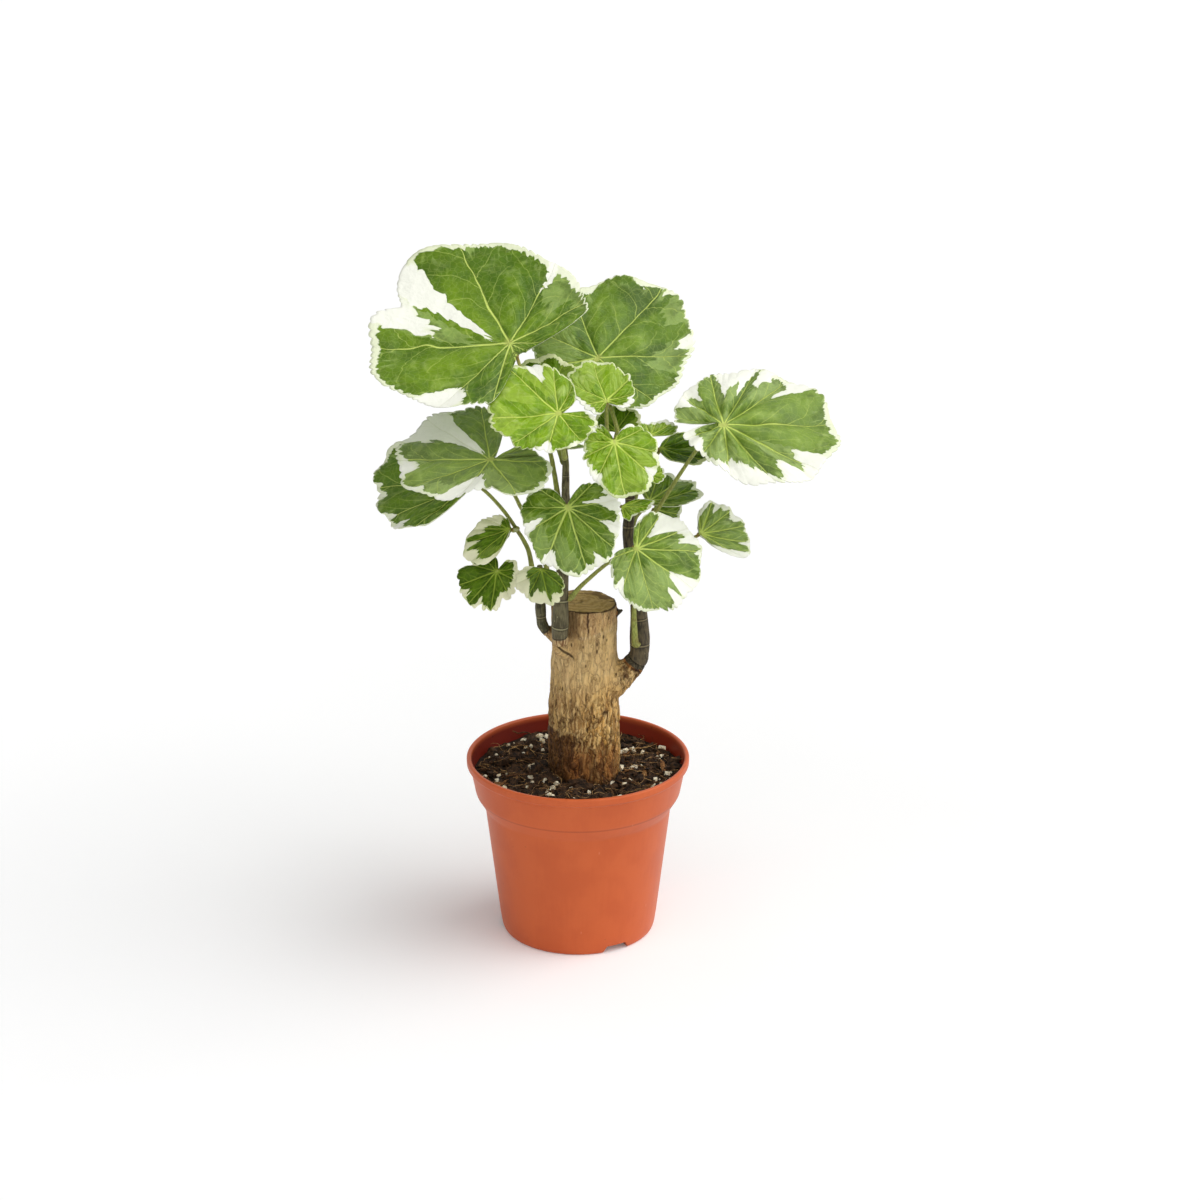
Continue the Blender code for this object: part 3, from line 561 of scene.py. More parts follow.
class Growth(Board):
    """A Geometry Nodes tree with named inputs."""

    def __init__(self, name, **inputs):
        super().__init__(bpy.data.node_groups.new(name, "GeometryNodeTree"))
        face = self.tree.interface
        self.identifiers = {}
        for label, (kind, default) in {"Geometry": ("Geometry", None), **inputs}.items():
            label = label.replace("_", " ")
            socket = face.new_socket(label, in_out="INPUT", socket_type="NodeSocket" + kind)
            if default is not None:
                socket.default_value = default
            self.identifiers[label] = socket.identifier
        face.new_socket("Geometry", in_out="OUTPUT", socket_type="NodeSocketGeometry")
        self.entry = self.tree.nodes.new("NodeGroupInput")

    def input(self, label):
        return Wire(self, self.entry.outputs[label])

    def random(self, low, high, seed):
        if isinstance(low, tuple):
            return self.node("FunctionNodeRandomValue", {"data_type": "FLOAT_VECTOR"},
                             {0: low, 1: high, "Seed": seed})
        return self.node("FunctionNodeRandomValue", {"data_type": "FLOAT"},
                         {2: low, 3: high, "Seed": seed}, 1)

    def moved(self, geometry, offset):
        return self.node("GeometryNodeSetPosition", None, {"Geometry": geometry, "Offset": offset})

    def dented(self, geometry, shift, scale, amount):
        """The geometry with its points pushed about by a noise that shift sets apart."""
        here = self.node("GeometryNodeInputPosition")
        push = self.node("ShaderNodeTexNoise", None, {
            "Vector": self.vector("ADD", here, shift), "Scale": scale, "Detail": 1.0}, "Color")
        return self.moved(geometry, self.scaled(self.vector("SUBTRACT", push, (0.5, 0.5, 0.5)), amount))

    def scattered(self, variants, density, lift, rotation, scale):
        """The variants by turns on random points of the input's faces."""
        points = self.node("GeometryNodeDistributePointsOnFaces", None, {
            "Mesh": self.input("Geometry"), "Density": density, "Seed": self.input("Seed")})
        shelf = self.tree.nodes.new("GeometryNodeGeometryToInstance")
        for variant in variants:
            self.tree.links.new(variant.socket, shelf.inputs[0])
        return self.node("GeometryNodeInstanceOnPoints", None, {
            "Points": self.moved(points, self.join(0.0, 0.0, lift)), "Instance": Wire(self, shelf.outputs[0]),
            "Pick Instance": True, "Rotation": rotation, "Scale": scale})

    def close(self, geometry, smooth_faces):
        shaded = self.node("GeometryNodeSetShadeSmooth", None, {0: geometry, "Shade Smooth": smooth_faces})
        real = self.node("GeometryNodeRealizeInstances", None, {0: shaded})
        painted = self.node("GeometryNodeSetMaterial", None, {0: real, "Material": self.input("Material")})
        self.tree.links.new(painted.socket, self.tree.nodes.new("NodeGroupOutput").inputs[0])
        return self

    def grow(self, name, seed_mesh, **values):
        """The tree's result on a mesh, as a plain mesh object."""
        carrier = add_object(name + "_carrier", seed_mesh)
        modifier = carrier.modifiers.new("growth", "NODES")
        modifier.node_group = self.tree
        for label, value in values.items():
            modifier[self.identifiers[label.replace("_", " ")]] = value
        mesh = evaluated_mesh(carrier)
        bpy.data.objects.remove(carrier)
        if not mesh.polygons:
            raise RuntimeError(name + " grew no faces")
        return add_object(name, mesh)


# ---------------------------------------------------------------- mesh helpers

def coat(mesh, material):
    mesh.materials.clear()
    mesh.materials.append(material)


def add_object(name, mesh, material=None):
    mesh.name = name
    thing = bpy.data.objects.new(name, mesh)
    bpy.context.scene.collection.objects.link(thing)
    if material:
        coat(mesh, material)
    return thing


def mesh_of(points, faces, smooth_faces=True):
    mesh = bpy.data.meshes.new("mesh")
    mesh.from_pydata([tuple(p) for p in points], [], faces)
    mesh.update()
    if smooth_faces:
        mesh.shade_smooth()
    return mesh


def evaluated_mesh(thing):
    """A new mesh with the thing's modifiers applied."""
    return bpy.data.meshes.new_from_object(thing.evaluated_get(bpy.context.evaluated_depsgraph_get()))


def end_faces(sides, rings):
    """The two ends of a body whose points are rings."""
    return [tuple(reversed(range(sides))), tuple(range((rings - 1) * sides, rings * sides))]


def band_faces(sides, rings):
    """The bands between the rings of such a body."""
    return [(start + k, start + (k + 1) % sides, start + sides + (k + 1) % sides, start + sides + k)
            for start in range(0, (rings - 1) * sides, sides) for k in range(sides)]


def store(mesh, name, values):
    """Write one number or one vector for each vertex."""
    values = np.asarray(values, np.float32)
    if values.ndim == 1:
        mesh.attributes.new(name, "FLOAT", "POINT").data.foreach_set("value", values)
    else:
        mesh.attributes.new(name, "FLOAT_VECTOR", "POINT").data.foreach_set("vector", values.ravel())


def vertex_rows(mesh, name):
    """A vector of each vertex, such as its normal, one to a row."""
    flat = np.empty(len(mesh.vertices) * 3)
    mesh.vertices.foreach_get(name, flat)
    return flat.reshape(-1, 3)


def places_of(mesh):
    """The vertices' places in table millimetres."""
    return vertex_rows(mesh, "co") / MM - np.array(AXIS) / MM


def put(mesh, places):
    mesh.vertices.foreach_set("co", metres(places).ravel())


def settle(thing, slot, *nodes):
    """Hand a finished piece to the frame."""
    thing.data.update()
    if nodes:
        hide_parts(*nodes)
    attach(thing, "root")


# ---------------------------------------------------------------- finishes

def colour(red, green, blue):
    """A daylight colour out of 255 as the shader's linear red, green, blue and one."""
    shares = [c / 255 for c in (red, green, blue)]
    return (*[c / 12.92 if c <= 0.04045 else ((c + 0.055) / 1.055) ** 2.4 for c in shares], 1.0)


def opaque(chosen):
    return (*chosen, 1.0)


def dimmed(tone, *shares):
    """A colour times one share, or times a share each of its red, green and blue."""
    if len(shares) == 1:
        shares = shares * 3
    return (*[part * share for part, share in zip(tone, shares)], 1.0)


def terracotta_finish(chosen):
    paint = Paint("pot terracotta plastic")
    place = paint.place()
    x, y, z = paint.parts(place)
    step = paint.step
    cloud = paint.noise(place, 0.05, 3)
    streak = paint.noise(paint.stretched(place, 0.5, 0.5, 0.03), 1.0, 3)
    grain_noise = paint.noise(place, 2.2, 2)
    base = opaque(chosen)
    radius = paint.length(paint.join(x, y, 0))
    inside = step(radius - (z * 0.193 + 38.6), 0.9, 0.3) * step(z, 83, 85)
    deep = step(z, 99.8, 96.5)
    # Painted shade: the inner wall is painted darker the deeper it lies below the rim, and darker on the
    # left, away from the lamps.
    inner = paint.mix(step(x, -40, 50), colour(112, 30, 16), colour(150, 50, 28))
    dust = step(paint.noise(place, 0.35, 4, 0.65), 0.6, 0.74) * inside * deep
    # Painted shade: a dark line painted under the band, where its lower edge steps in.
    crease_shade = step(abs(z - 79.2), 0.9, 0.1) * (1 - inside)
    spots = step(paint.cells(place, 0.09), 0.06, 0.03) * (1 - inside)
    scuff = step(paint.cells(paint.stretched(place, 1.0, 1.0, 0.4), 0.12), 0.06, 0.02)
    tone = paint.mix(step(cloud * 0.8 + streak * 0.2, 0.38, 0.62), dimmed(base, 0.93, 0.88, 0.86), base)
    # Painted shade in these layers: the inner wall, and the dark line under the band. Dust, spots and scuffs
    # are marks on the plastic.
    tone = paint.coats(
        tone, (inside * (0.2 + deep * 0.8), inner), (dust * 0.85, colour(46, 28, 18)),
        (crease_shade * 0.45, colour(146, 56, 22)), (spots * 0.25, colour(130, 66, 36)),
        (scuff * 0.3, colour(226, 150, 116)))
    rough = 0.42 + (grain_noise - 0.5) * 0.1 + dust * 0.4 + (cloud - 0.5) * 0.1
    return paint.finish(tone, rough, grain_noise * 0.015 + streak * 0.02, specular_ior_level=0.25)


def soil_finish(name, dark, light, scale):
    paint = Paint(name)
    place = paint.place()
    clump = paint.noise(place, scale, 4, 0.6)
    speck = paint.noise(place, scale * 5, 3, 0.7)
    tone = paint.mix(paint.step(clump * 0.6 + speck * 0.4, 0.4, 0.62), dark, light)
    return paint.finish(tone, 0.92 - speck * 0.15, clump * 0.5 + speck * 0.25, specular_ior_level=0.2)


def sawn_wood(paint, place, x, y):
    """Colour and height of the saw cut's growth rings."""
    step = paint.step
    middle = paint.stretched(paint.vector("SUBTRACT", place, (1.0, -3.0, 0.0)), 1.0, 1.25, 0.0)
    round_edge = paint.stretched(paint.vector("SUBTRACT", place, (3.5, -6.0, 0.0)), 1.0, 1.0, 0.0)
    swirl = paint.noise(place, 0.075, 3, 0.5, 1.4)
    rings = paint.maths("SINE", paint.length(middle) * 1.3 + swirl * 22)
    return paint.coats(
        colour(174, 142, 86), (step(rings, -1.0, 1.0), colour(196, 164, 108)),
        (step(swirl, 0.52, 0.62) * 0.8, colour(108, 82, 44)),
        (step(x - y * 0.7 + swirl * 14, 2, -6) * 0.25, colour(124, 112, 60)),
        (step(paint.length(round_edge) + swirl * 1.6, 16.6, 17.6) * 0.9, colour(48, 32, 18))), rings


def bark_finish(chosen):
    paint = Paint("trunk bark")
    place = paint.place()
    x, y, z = paint.parts(place)
    step, larger = paint.step, paint.larger
    cut, shoot, pit = [paint.attribute(name) for name in ("cut", "shoot", "pit")]
    upright = paint.stretched(place, 1.0, 1.0, 0.14)
    fibre = paint.noise(upright, 0.8, 5, 0.65)
    fine = paint.noise(upright, 3.0, 3, 0.6)
    cloud = paint.noise(place, 0.1, 3)
    drift = cloud - 0.5
    warp = paint.noise(place, 0.2, 3) - 0.5
    chips = paint.vector("ADD", paint.stretched(place, 0.36, 0.36, 0.11),
                         paint.join(warp * 1.8, warp * -1.4, warp * 1.1))
    strip = paint.vector("ADD", paint.stretched(place, 0.26, 0.26, 0.055),
                         paint.join(warp * 1.3, warp * -1.1, warp * 0.5))
    ridge = abs(paint.noise(strip, 1.0, 2) - 0.5)
    gap = paint.cells(chips, 1.0, "DISTANCE_TO_EDGE")
    lot, other, _ = paint.parts(paint.cells(chips, 1.0, "F1", "Color"))

    # Where the bark is rough, sound, sawn, wet and rusty.
    low = step(z + drift * 40, 156, 116)
    collar = step(x, 19, 24) * step(z + drift * 8, 142, 150)
    rough = larger(0.42 + low * 0.58, collar)
    # golden: the lower right of the bark, warmer and lighter, partly the bark's own colour and partly painted
    # light from the lamps on the right.
    golden = low * step(x + drift * 12, -6, 8)
    upper = step(z - x * 0.16 + drift * 8 + (fibre - 0.5) * 12, 173.5, 179)
    lip = step(abs(z - x * 0.16 - 175.6 + warp * 3), 1.1, 0.2) * step(x, -6, 0) * step(y, 8, 0)
    rent = step(abs(x - 5.6 + warp * 2), 0.8, 0.2) * upper * step(y, -8, -14)
    streaks = step(fine, 0.46, 0.36) * upper * 0.45
    # The dark of the cracks is partly the bark's own colour and partly painted shade in the fissures and
    # along the flake edges.
    crack = step(gap + (fine - 0.5) * 0.1, 0.14, 0.03) * step(warp, -0.12, 0.0)
    fissure = step(ridge + (fine - 0.5) * 0.03, 0.03, 0.006)
    crack = larger(larger(crack * 0.6, fissure) * rough, step(fibre, 0.4, 0.3) * (0.4 + rough * 0.4))
    # Painted highlight: the tops of the ridges are painted pale.
    ridge_highlight = step(ridge, 0.04, 0.09) * step(fibre, 0.46, 0.58) * rough
    spots = step(paint.cells(paint.stretched(place, 1.0, 1.0, 0.5), 0.2), 0.16, 0.07) * step(z, 112, 128)
    split = step(abs(z + x - 162.7 + warp * 3), 1.5, 0.4) * step(abs(x + 7.4), 6.5, 4.5) * step(y, -6, -12)
    edge = z + (paint.noise(place, 0.16, 3) - 0.5) * 12 + x * 0.12 + (fibre - 0.5) * 7
    wet_side = step(x + drift * 16 + (fibre - 0.5) * 16, 8, -6) * step(y, 16, 2)
    wet = step(edge, 118.6, 117.4) * wet_side
    shore = step(abs(edge - 119.4), 1.3, 0.3) * wet_side
    rusty = step(z + drift * 16, 120, 100) * step(abs(x - 9), 18, 10) * step(y, 0, -8)
    rust = paint.mix(step(lot, 0.4, 0.6), colour(104, 58, 26), colour(176, 112, 56))
    stain = step(abs(x + 5) + (fibre - 0.5) * 9, 10, 4) * upper * step(y, -6, -12) * (1 - cut)
    buried = step(z + (fine - 0.5) * 4, 93.5, 90.5)

    tone = paint.coats(
        opaque(chosen), (step(cloud, 0.44, 0.66) * 0.6, colour(184, 134, 80)),
        (step(fibre, 0.5, 0.62) * 0.6, colour(224, 198, 144)),
        # Painted light: the bark is painted lighter towards the right, where the lamps fall.
        (step(x + drift * 14, 0, 14) * 0.4, colour(238, 194, 120)),
        (step(z + drift * 24, 138, 154) * 0.5, colour(220, 192, 140)),
        # The lower bark is golden on the right and duller on the left: partly its own colour, partly painted
        # light and shade.
        (golden * 0.8, colour(222, 164, 80)), (low * (1 - golden) * 0.5, colour(172, 126, 66)),
        (step(lot, 0.55, 0.66) * rough * 0.6, colour(230, 190, 118)),
        (step(other, 0.62, 0.72) * rough * 0.6, colour(116, 78, 40)),
        (upper * 0.45, colour(188, 140, 94)),
        (upper * step(fibre, 0.48, 0.6) * 0.6, colour(226, 192, 142)),
        (lip * step(fibre, 0.4, 0.56) * 0.7, colour(224, 198, 150)),
        # The second layer here is a painted highlight on the ridge tops.
        (larger(rent, streaks), colour(66, 42, 24)), (ridge_highlight * 0.75, colour(248, 210, 142)),
        # crack: dark fissures, partly bark colour and partly painted shade.
        (crack * 0.82, colour(84, 48, 20)), (step(fine, 0.54, 0.68) * 0.35, colour(220, 192, 140)),
        # pit: the pits are painted dark by their depth, partly the bark's colour and partly painted shade.
        (step(fine, 0.44, 0.34) * 0.25, colour(124, 84, 42)), (pit * 0.8, colour(60, 38, 18)),
        (spots * 0.8, colour(62, 40, 22)), (split * (1 - shoot) * 0.9, colour(52, 34, 18)))
    tone = paint.mix(wet * 0.9, tone, colour(150, 122, 92), "MULTIPLY")
    wood, rings = sawn_wood(paint, place, x, y)
    skin = paint.mix(step(fibre, 0.4, 0.62), colour(60, 54, 40), colour(104, 96, 74))
    flaky = paint.mix(step(lot, 0.35, 0.6), colour(62, 38, 20), colour(176, 122, 66))
    tone = paint.coats(
        tone, (wet * 0.35, colour(70, 46, 24)), (shore * 0.7, colour(206, 172, 116)), (rusty * 0.75, rust),
        (stain * 0.65, colour(78, 56, 26)), (buried * 0.6, colour(40, 26, 16)), (cut, wood),
        (step(shoot, 0.02, 0.3) * step(x, 9, 13), flaky),
        (step(shoot + (fibre - 0.5) * 0.5, 0.55, 0.8), skin))
    dome = step(ridge, 0.0, 0.1) + step(gap, 0.0, 0.3) * 0.4
    height = fibre * 0.6 + dome * rough * 0.9 + lot * rough * 0.5 - crack * 0.5 + fine * 0.3
    height = height * (1 - cut * 0.8) + rings * cut * 0.05
    return paint.finish(tone, 0.8 - wet * 0.3 + (fine - 0.5) * 0.1, height, specular_ior_level=0.2)


def stem_finish(name, dark, light, scar, sleeve):
    """A shoot's skin with leaf-scar rings. sleeve: millimetres of bark around its foot."""
    paint = Paint(name)
    place = paint.place()
    step = paint.step
    run, along = paint.attribute("millimetres"), paint.attribute("along")
    streak = paint.noise(paint.stretched(place, 1.0, 1.0, 0.14), 1.1, 4, 0.6)
    cloud = paint.noise(place, 0.16, 3)
    uneven = (run + 16.3) / 16.5 + (paint.noise(paint.join(run * 0.06, 0, 0), 1.0, 1) - 0.5) * 0.6
    ring_gap = abs(paint.maths("FRACT", uneven) - 0.5) * 16.5 + (cloud - 0.5) * 0.6
    ring = step(ring_gap, 0.6, 0.25)
    spots = step(paint.cells(paint.stretched(place, 1.0, 1.0, 0.5), 0.42), 0.14, 0.06)
    foot = run + (cloud - 0.5) * 1.4
    bark = paint.mix(step(streak, 0.42, 0.6), colour(120, 84, 50), colour(204, 176, 126))
    tone = paint.coats(
        dark, (step(streak * 0.6 + cloud * 0.4, 0.38, 0.62), light), (ring * 0.6, scar),
        (step(ring_gap, 1.6, 0.9) * (1 - ring) * 0.5, dimmed(dark, 0.45)), (spots * 0.6, scar),
        (step(along, 0.3, 0.5) * step(streak, 0.5, 0.4) * 0.7, colour(40, 28, 18)),
        (step(along, 0.8, 1.0) * 0.6, colour(118, 122, 54)),
        (step(foot, sleeve + 0.3, sleeve - 0.3), bark),
        (step(abs(foot - sleeve - 0.5), 0.5, 0.1) * 0.7, colour(52, 36, 22)))
    height = streak * 0.45 + ring * 0.3 + spots * 0.2
    return paint.finish(tone, 0.62 + (streak - 0.5) * 0.2, height, specular_ior_level=0.25)


def petiole_finish(chosen):
    paint = Paint("petiole skin")
    place = paint.place()
    step = paint.step
    along = paint.attribute("along")
    streak = paint.noise(paint.stretched(place, 1.0, 1.0, 0.3), 1.6, 3)
    cloud = paint.noise(place, 0.2, 2)
    spots = step(paint.cells(place, 0.62), 0.16, 0.07)
    base = opaque(chosen)
    tone = paint.coats(
        dimmed(base, 0.62), (step(streak, 0.4, 0.62), base),
        (step(cloud, 0.56, 0.74) * 0.4, colour(118, 88, 52)),
        (step(along, 0.9, 1.0) * 0.7, colour(134, 104, 54)),
        (step(along, 0.1, 0.0) * 0.4, colour(112, 100, 56)),
        (spots * 0.45, colour(190, 188, 124)))
    height = streak * 0.12 + spots * 0.05
    return paint.finish(tone, 0.46 + (streak - 0.5) * 0.15, height, specular_ior_level=0.2)


# What sets one kind of leaf apart. deep and light: its two greens. greyed: the green past the grey
# limit. lines: strength of the side veins. shine: strength of the pale patches painted in as a
# highlight. mottle: strength of the dark clouds. glint: specular level. rims: how yellow the pale margin is.
Foliage = namedtuple("Foliage", "deep light greyed cream rib rough blister lines shine mottle glint rims")


def leaf_veins(paint, row, share, span, flat, reach, kind):
    """Masks of the main veins, the side veins and the fine net, and the swelling between side veins."""
    step, fract = paint.step, "FRACT"
    across = paint.maths(fract, row + 0.5) - 0.5
    fold = abs(across)
    strength = paint.lot_of(row + 0.5)
    half = (0.56 + strength * 0.4) * (1 - share * 0.62)
    main = step(fold * span, half, half * 0.35)
    spacing = 0.27
    climb = share - (fold * 2) ** 0.85 * 0.36 + (paint.noise(flat, 0.06, 1) - 0.5) * 0.2
    bay = paint.maths(fract, climb / spacing + paint.maths("GREATER_THAN", across, 0.0) * 0.4) - 0.5
    tilt = paint.maths("SQRT", (1 / reach) ** 2 + (0.5 / span) ** 2)
    side = step(abs(bay) * spacing / tilt, 0.38, 0.1) * step(share, 0.14, 0.34)
    side = side * (1 - fold * 1.3) * kind.lines
    net = step(paint.cells(flat, 0.3, "DISTANCE_TO_EDGE"), 0.07, 0.015)
    return fold, main, side, net, 1 - (bay * 2) ** 2


def leaf_finish(name, kind):
    paint = Paint(name)
    step, mix, larger = paint.step, paint.mix, paint.larger
    place_w, share, span = paint.parts(paint.attribute("rib", "Vector"))
    green_side, grey_side, under = paint.parts(paint.attribute("hue", "Vector"))
    x, y, reach = paint.parts(paint.attribute("flat", "Vector"))
    shade = paint.attribute("shade")
    flat = paint.join(x, y, 0)
    row = place_w + (paint.noise(flat, 0.05, 1) - 0.5) * 0.16
    fold, main, side, net, puff = leaf_veins(paint, row, share, span, flat, reach, kind)
    ribs = larger(main, side)

    # The ragged edge of the green, and of its greyed part.
    loose = step(green_side + share, 0.98, 0.8)
    jag = paint.noise(paint.join(row * 5, share * 1.4, 0), 1.0, 3, 0.55) - 0.5
    teeth = paint.noise(paint.join(row * 17, share * 6, 3), 1.0, 2, 0.6) - 0.5
    edge = green_side + jag * (0.03 + loose * 0.2) + teeth * (0.09 + loose * 0.06)
    green_share = step(edge, -0.005, 0.006)
    dull = paint.noise(paint.join(row * 7, share * 2.2, 7), 1.0, 3, 0.6) - 0.5
    full = step(grey_side + dull * 0.45, -0.012, 0.016)
    fleck = step(edge, 0.16, 0.05) * step(dull, 0.05, 0.09)

    cloud = paint.noise(paint.join(row * 1.6, share * 2.2, 11), 1.0, 3)
    patch = paint.noise(flat, 0.11, 3)
    # level: mostly random green tone; its share for each panel between veins and its rise away from the main
    # veins are painted shade, as if each panel faced its own way.
    level = cloud * 0.4 + patch * 0.4 + (paint.lot_of(row) - 0.5) * 0.1 + fold * 0.1
    # Painted highlight: pale patches laid into the green away from the main veins.
    painted_sheen = step(paint.noise(flat, 0.11, 2, 0.5, 0.8), 0.52, 0.72) * step(fold, 0.04, 0.2)
    stroke = step(edge, 0.2, 0.04) * step(patch, 0.46, 0.58) * (1 - painted_sheen * 0.7)
    darkest = dimmed(kind.deep, 0.55)
    pale_grey = mix(step(patch, 0.4, 0.62), kind.greyed, dimmed(kind.greyed, 0.8))
    # Painted shade: the layer after the light green darkens the furrow beside each main vein.
    green = paint.coats(
        kind.deep, (step(level, 0.3, 0.58), kind.light), (step(fold, 0.28, 0.04) * (1 - main) * 0.2, darkest),
        (step(cloud, 0.46, 0.3) * kind.mottle, darkest), (larger(1 - full, fleck) * 0.85, pale_grey),
        # shade: the whole leaf painted darker, or lighter below 0; partly its own tone, partly painted light
        # and shade where it sits.
        (larger(shade, 0) * 0.8, darkest), (larger(0 - shade, 0), colour(206, 220, 156)),
        (painted_sheen * kind.shine, colour(206, 224, 140)), (stroke * 0.5, darkest), (net * 0.1, kind.rib),
        (ribs * (0.95 - abs(shade) * 0.4), kind.rib))
    rim = larger((1 - loose) * 0.75, step(edge, -0.07, 0.0) * 0.5)
    shown = paint.coats(
        kind.cream, (rim * kind.rims, colour(206, 220, 144)), (ribs * 0.22, colour(222, 226, 184)),
        (green_share, green), (step(share, 0.07, 0.01) * 0.75, colour(176, 184, 96)),
        (under * 0.45, colour(168, 186, 132)))

    facing = (1 - under * 2) * (0.35 + green_share * 0.65)
    relief = puff * kind.blister * step(share, 0.1, 0.4) - main * 0.35 - side * 0.16 - net * 0.05
    lumps = patch * 0.9 + paint.noise(flat, 0.24, 1) * kind.blister * 1.6 + paint.noise(flat, 1.1, 2) * 0.04
    rough = kind.rough + under * 0.2 + ribs * 0.08 + (patch - 0.5) * 0.2 + (1 - green_share) * 0.1
    return paint.finish(shown, rough, facing * relief + lumps, specular_ior_level=kind.glint)


# ---------------------------------------------------------------- pot

def rounded(outline, radius):
    """The outline with each corner replaced by a small curve."""
    points = [Vector(p) for p in outline]
    path = [points[0]]
    for before, corner, after in zip(points, points[1:], points[2:]):
        reach = min(radius, (corner - before).length * 0.45, (after - corner).length * 0.45)
        start = corner + (before - corner).normalized() * reach
        end = corner + (after - corner).normalized() * reach
        for t in (0.0, 0.25, 0.5, 0.75, 1.0):
            path.append(start * (1 - t) ** 2 + corner * 2 * t * (1 - t) + end * t ** 2)
    return path + [points[-1]]


def pot_outline():
    """Half section of the pot, from its axis along the underside, up and back inside."""
    inner_side = [(r - POT_WALL, z) for r, z in reversed(POT_SIDE[1:5])]
    outside = [(0, POT_FLOOR), (FOOT_INNER_RADIUS - 1, POT_FLOOR), (FOOT_INNER_RADIUS, 0), (FOOT_RADIUS, 0),
               *POT_SIDE, (LIP_RADIUS - 0.6, POT_HEIGHT), (LIP_RADIUS - 1.9, POT_HEIGHT),
               (LIP_RADIUS - 2.5, POT_HEIGHT - 0.6), *inner_side,
               (POT_SIDE[0][0] - POT_WALL - 0.6, POT_FLOOR + POT_WALL + 1.2),
               (FOOT_RADIUS - 2.8, POT_FLOOR + POT_WALL), (0, POT_FLOOR + POT_WALL)]
    return rounded(outside, POT_EASE)


def turned(outline, sides):
    """A closed body of revolution about the pot's axis."""
    points, faces = [], []
    inner = outline[1:-1]
    for k in range(sides):
        points += [polar(p.x, 360 * k / sides, p.y) for p in inner]
    low, high = len(points), len(points) + 1
    points += [Vector((0, 0, outline[0].y)), Vector((0, 0, outline[-1].y))]
    count = len(inner)
    for k in range(sides):
        here, there = k * count, (k + 1) % sides * count
        faces.append((low, there, here))
        for n in range(count - 1):
            faces.append((here + n, there + n, there + n + 1, here + n + 1))
        faces.append((high, here + count - 1, there + count - 1))
    return mesh_of(metres(points), faces)


def cutter(name, corners, faces):
    thing = add_object(name, mesh_of(metres(corners), faces, False))
    bm = bmesh.new()
    bm.from_mesh(thing.data)
    bmesh.ops.recalc_face_normals(bm, faces=bm.faces)
    bm.to_mesh(thing.data)
    bm.free()
    return thing


def notch_cutter(angle):
    """A block that leaves a tapered opening in the foot."""
    corners = []
    turn = math.radians(angle)
    for height, share in ((-NOTCH["height"], 1.0), (0.0, 1.0), (NOTCH["height"], NOTCH["taper"])):
        for out, across in ((-1, -1), (1, -1), (1, 1), (-1, 1)):
            local = Vector((out * NOTCH["depth"] / 2, across * NOTCH["width"] * share / 2, height))
            spun = Vector((local.x * math.cos(turn) - local.y * math.sin(turn),
                           local.x * math.sin(turn) + local.y * math.cos(turn), local.z))
            corners.append(spun + polar(FOOT_RADIUS, angle))
    return cutter("notch_cutter", corners, end_faces(4, 3) + band_faces(4, 3))


def drain_cutter(angle):
    centre = polar(DRAIN["ring"], angle)
    sides = DRAIN["sides"]
    corners = [centre + polar(DRAIN["radius"], 360 * k / sides, height)
               for height in DRAIN["reach"] for k in range(sides)]
    return cutter("drain_cutter", corners, end_faces(sides, 2) + band_faces(sides, 2))


def carve(thing, cutters):
    """Take the cutters out of a piece and remove them."""
    for tool in cutters:
        modifier = thing.modifiers.new(tool.name, "BOOLEAN")
        modifier.operation = "DIFFERENCE"
        modifier.solver = "EXACT"
        modifier.object = tool
    carved = evaluated_mesh(thing)
    thing.modifiers.clear()
    thing.data = carved
    for tool in cutters:
        bpy.data.objects.remove(tool)


def make_pot(look):
    pot = add_object("pot_shell", turned(pot_outline(), look.pot_sides))
    tools = [notch_cutter(NOTCH["first"] + k * 360 / NOTCH["count"]) for k in range(NOTCH["count"])]
    tools += [drain_cutter((k + 0.5) * 360 / DRAIN["count"]) for k in range(DRAIN["count"])]
    carve(pot, tools)
    coat(pot.data, terracotta_finish(look.pot_colour))
    pot.data.shade_smooth()
    pot.data.set_sharp_from_angle(angle=math.radians(POT_CREASE_ANGLE))
    settle(pot, "pot", "pot")


# ---------------------------------------------------------------- soil

def soil_height(angle, share):
    """Height of the soil, share 0 at the trunk and 1 at the pot's wall."""
    a = math.radians(angle)
    mound = SOIL_MOUND * (1 - share) * (0.4 + 0.6 * math.cos(a - math.radians(125)))
    ripple = 0.9 * math.sin(3 * a + 0.6) * math.sin(math.pi * share) + 0.5 * math.sin(7 * a) * share
    return SOIL_LEVEL + mound + ripple


def soil_surface(sides, rings):
    """Rings of the soil's rough top, from the pot's wall to the trunk."""
    grid = []
    for n in range(rings + 1):
        share = 1 - n / rings
        for k in range(sides):
            angle = 360 * k / sides
            centre, radius = trunk_at(SOIL_LEVEL)
            place = centre + polar(radius - 0.4, angle)
            place = place.lerp(polar(wall_at(SOIL_LEVEL) - 0.15, angle), share)
            clods = noise.noise(place * 0.13) * 2.4 + abs(noise.noise(place * 0.3)) * 2.2
            rough = clods + noise.fractal(place * 0.35, 0.8, 2.2, 4) * 1.6 - 1.2
            for x, y, size, depth in HOLLOWS:
                rough -= depth * math.exp(-((place.x - x) ** 2 + (place.y - y) ** 2) / size ** 2)
            place.z = soil_height(angle, share) + rough * min(1.0, 6 * (1 - share) + 0.35) - 0.4
            grid.append(place)
    return grid


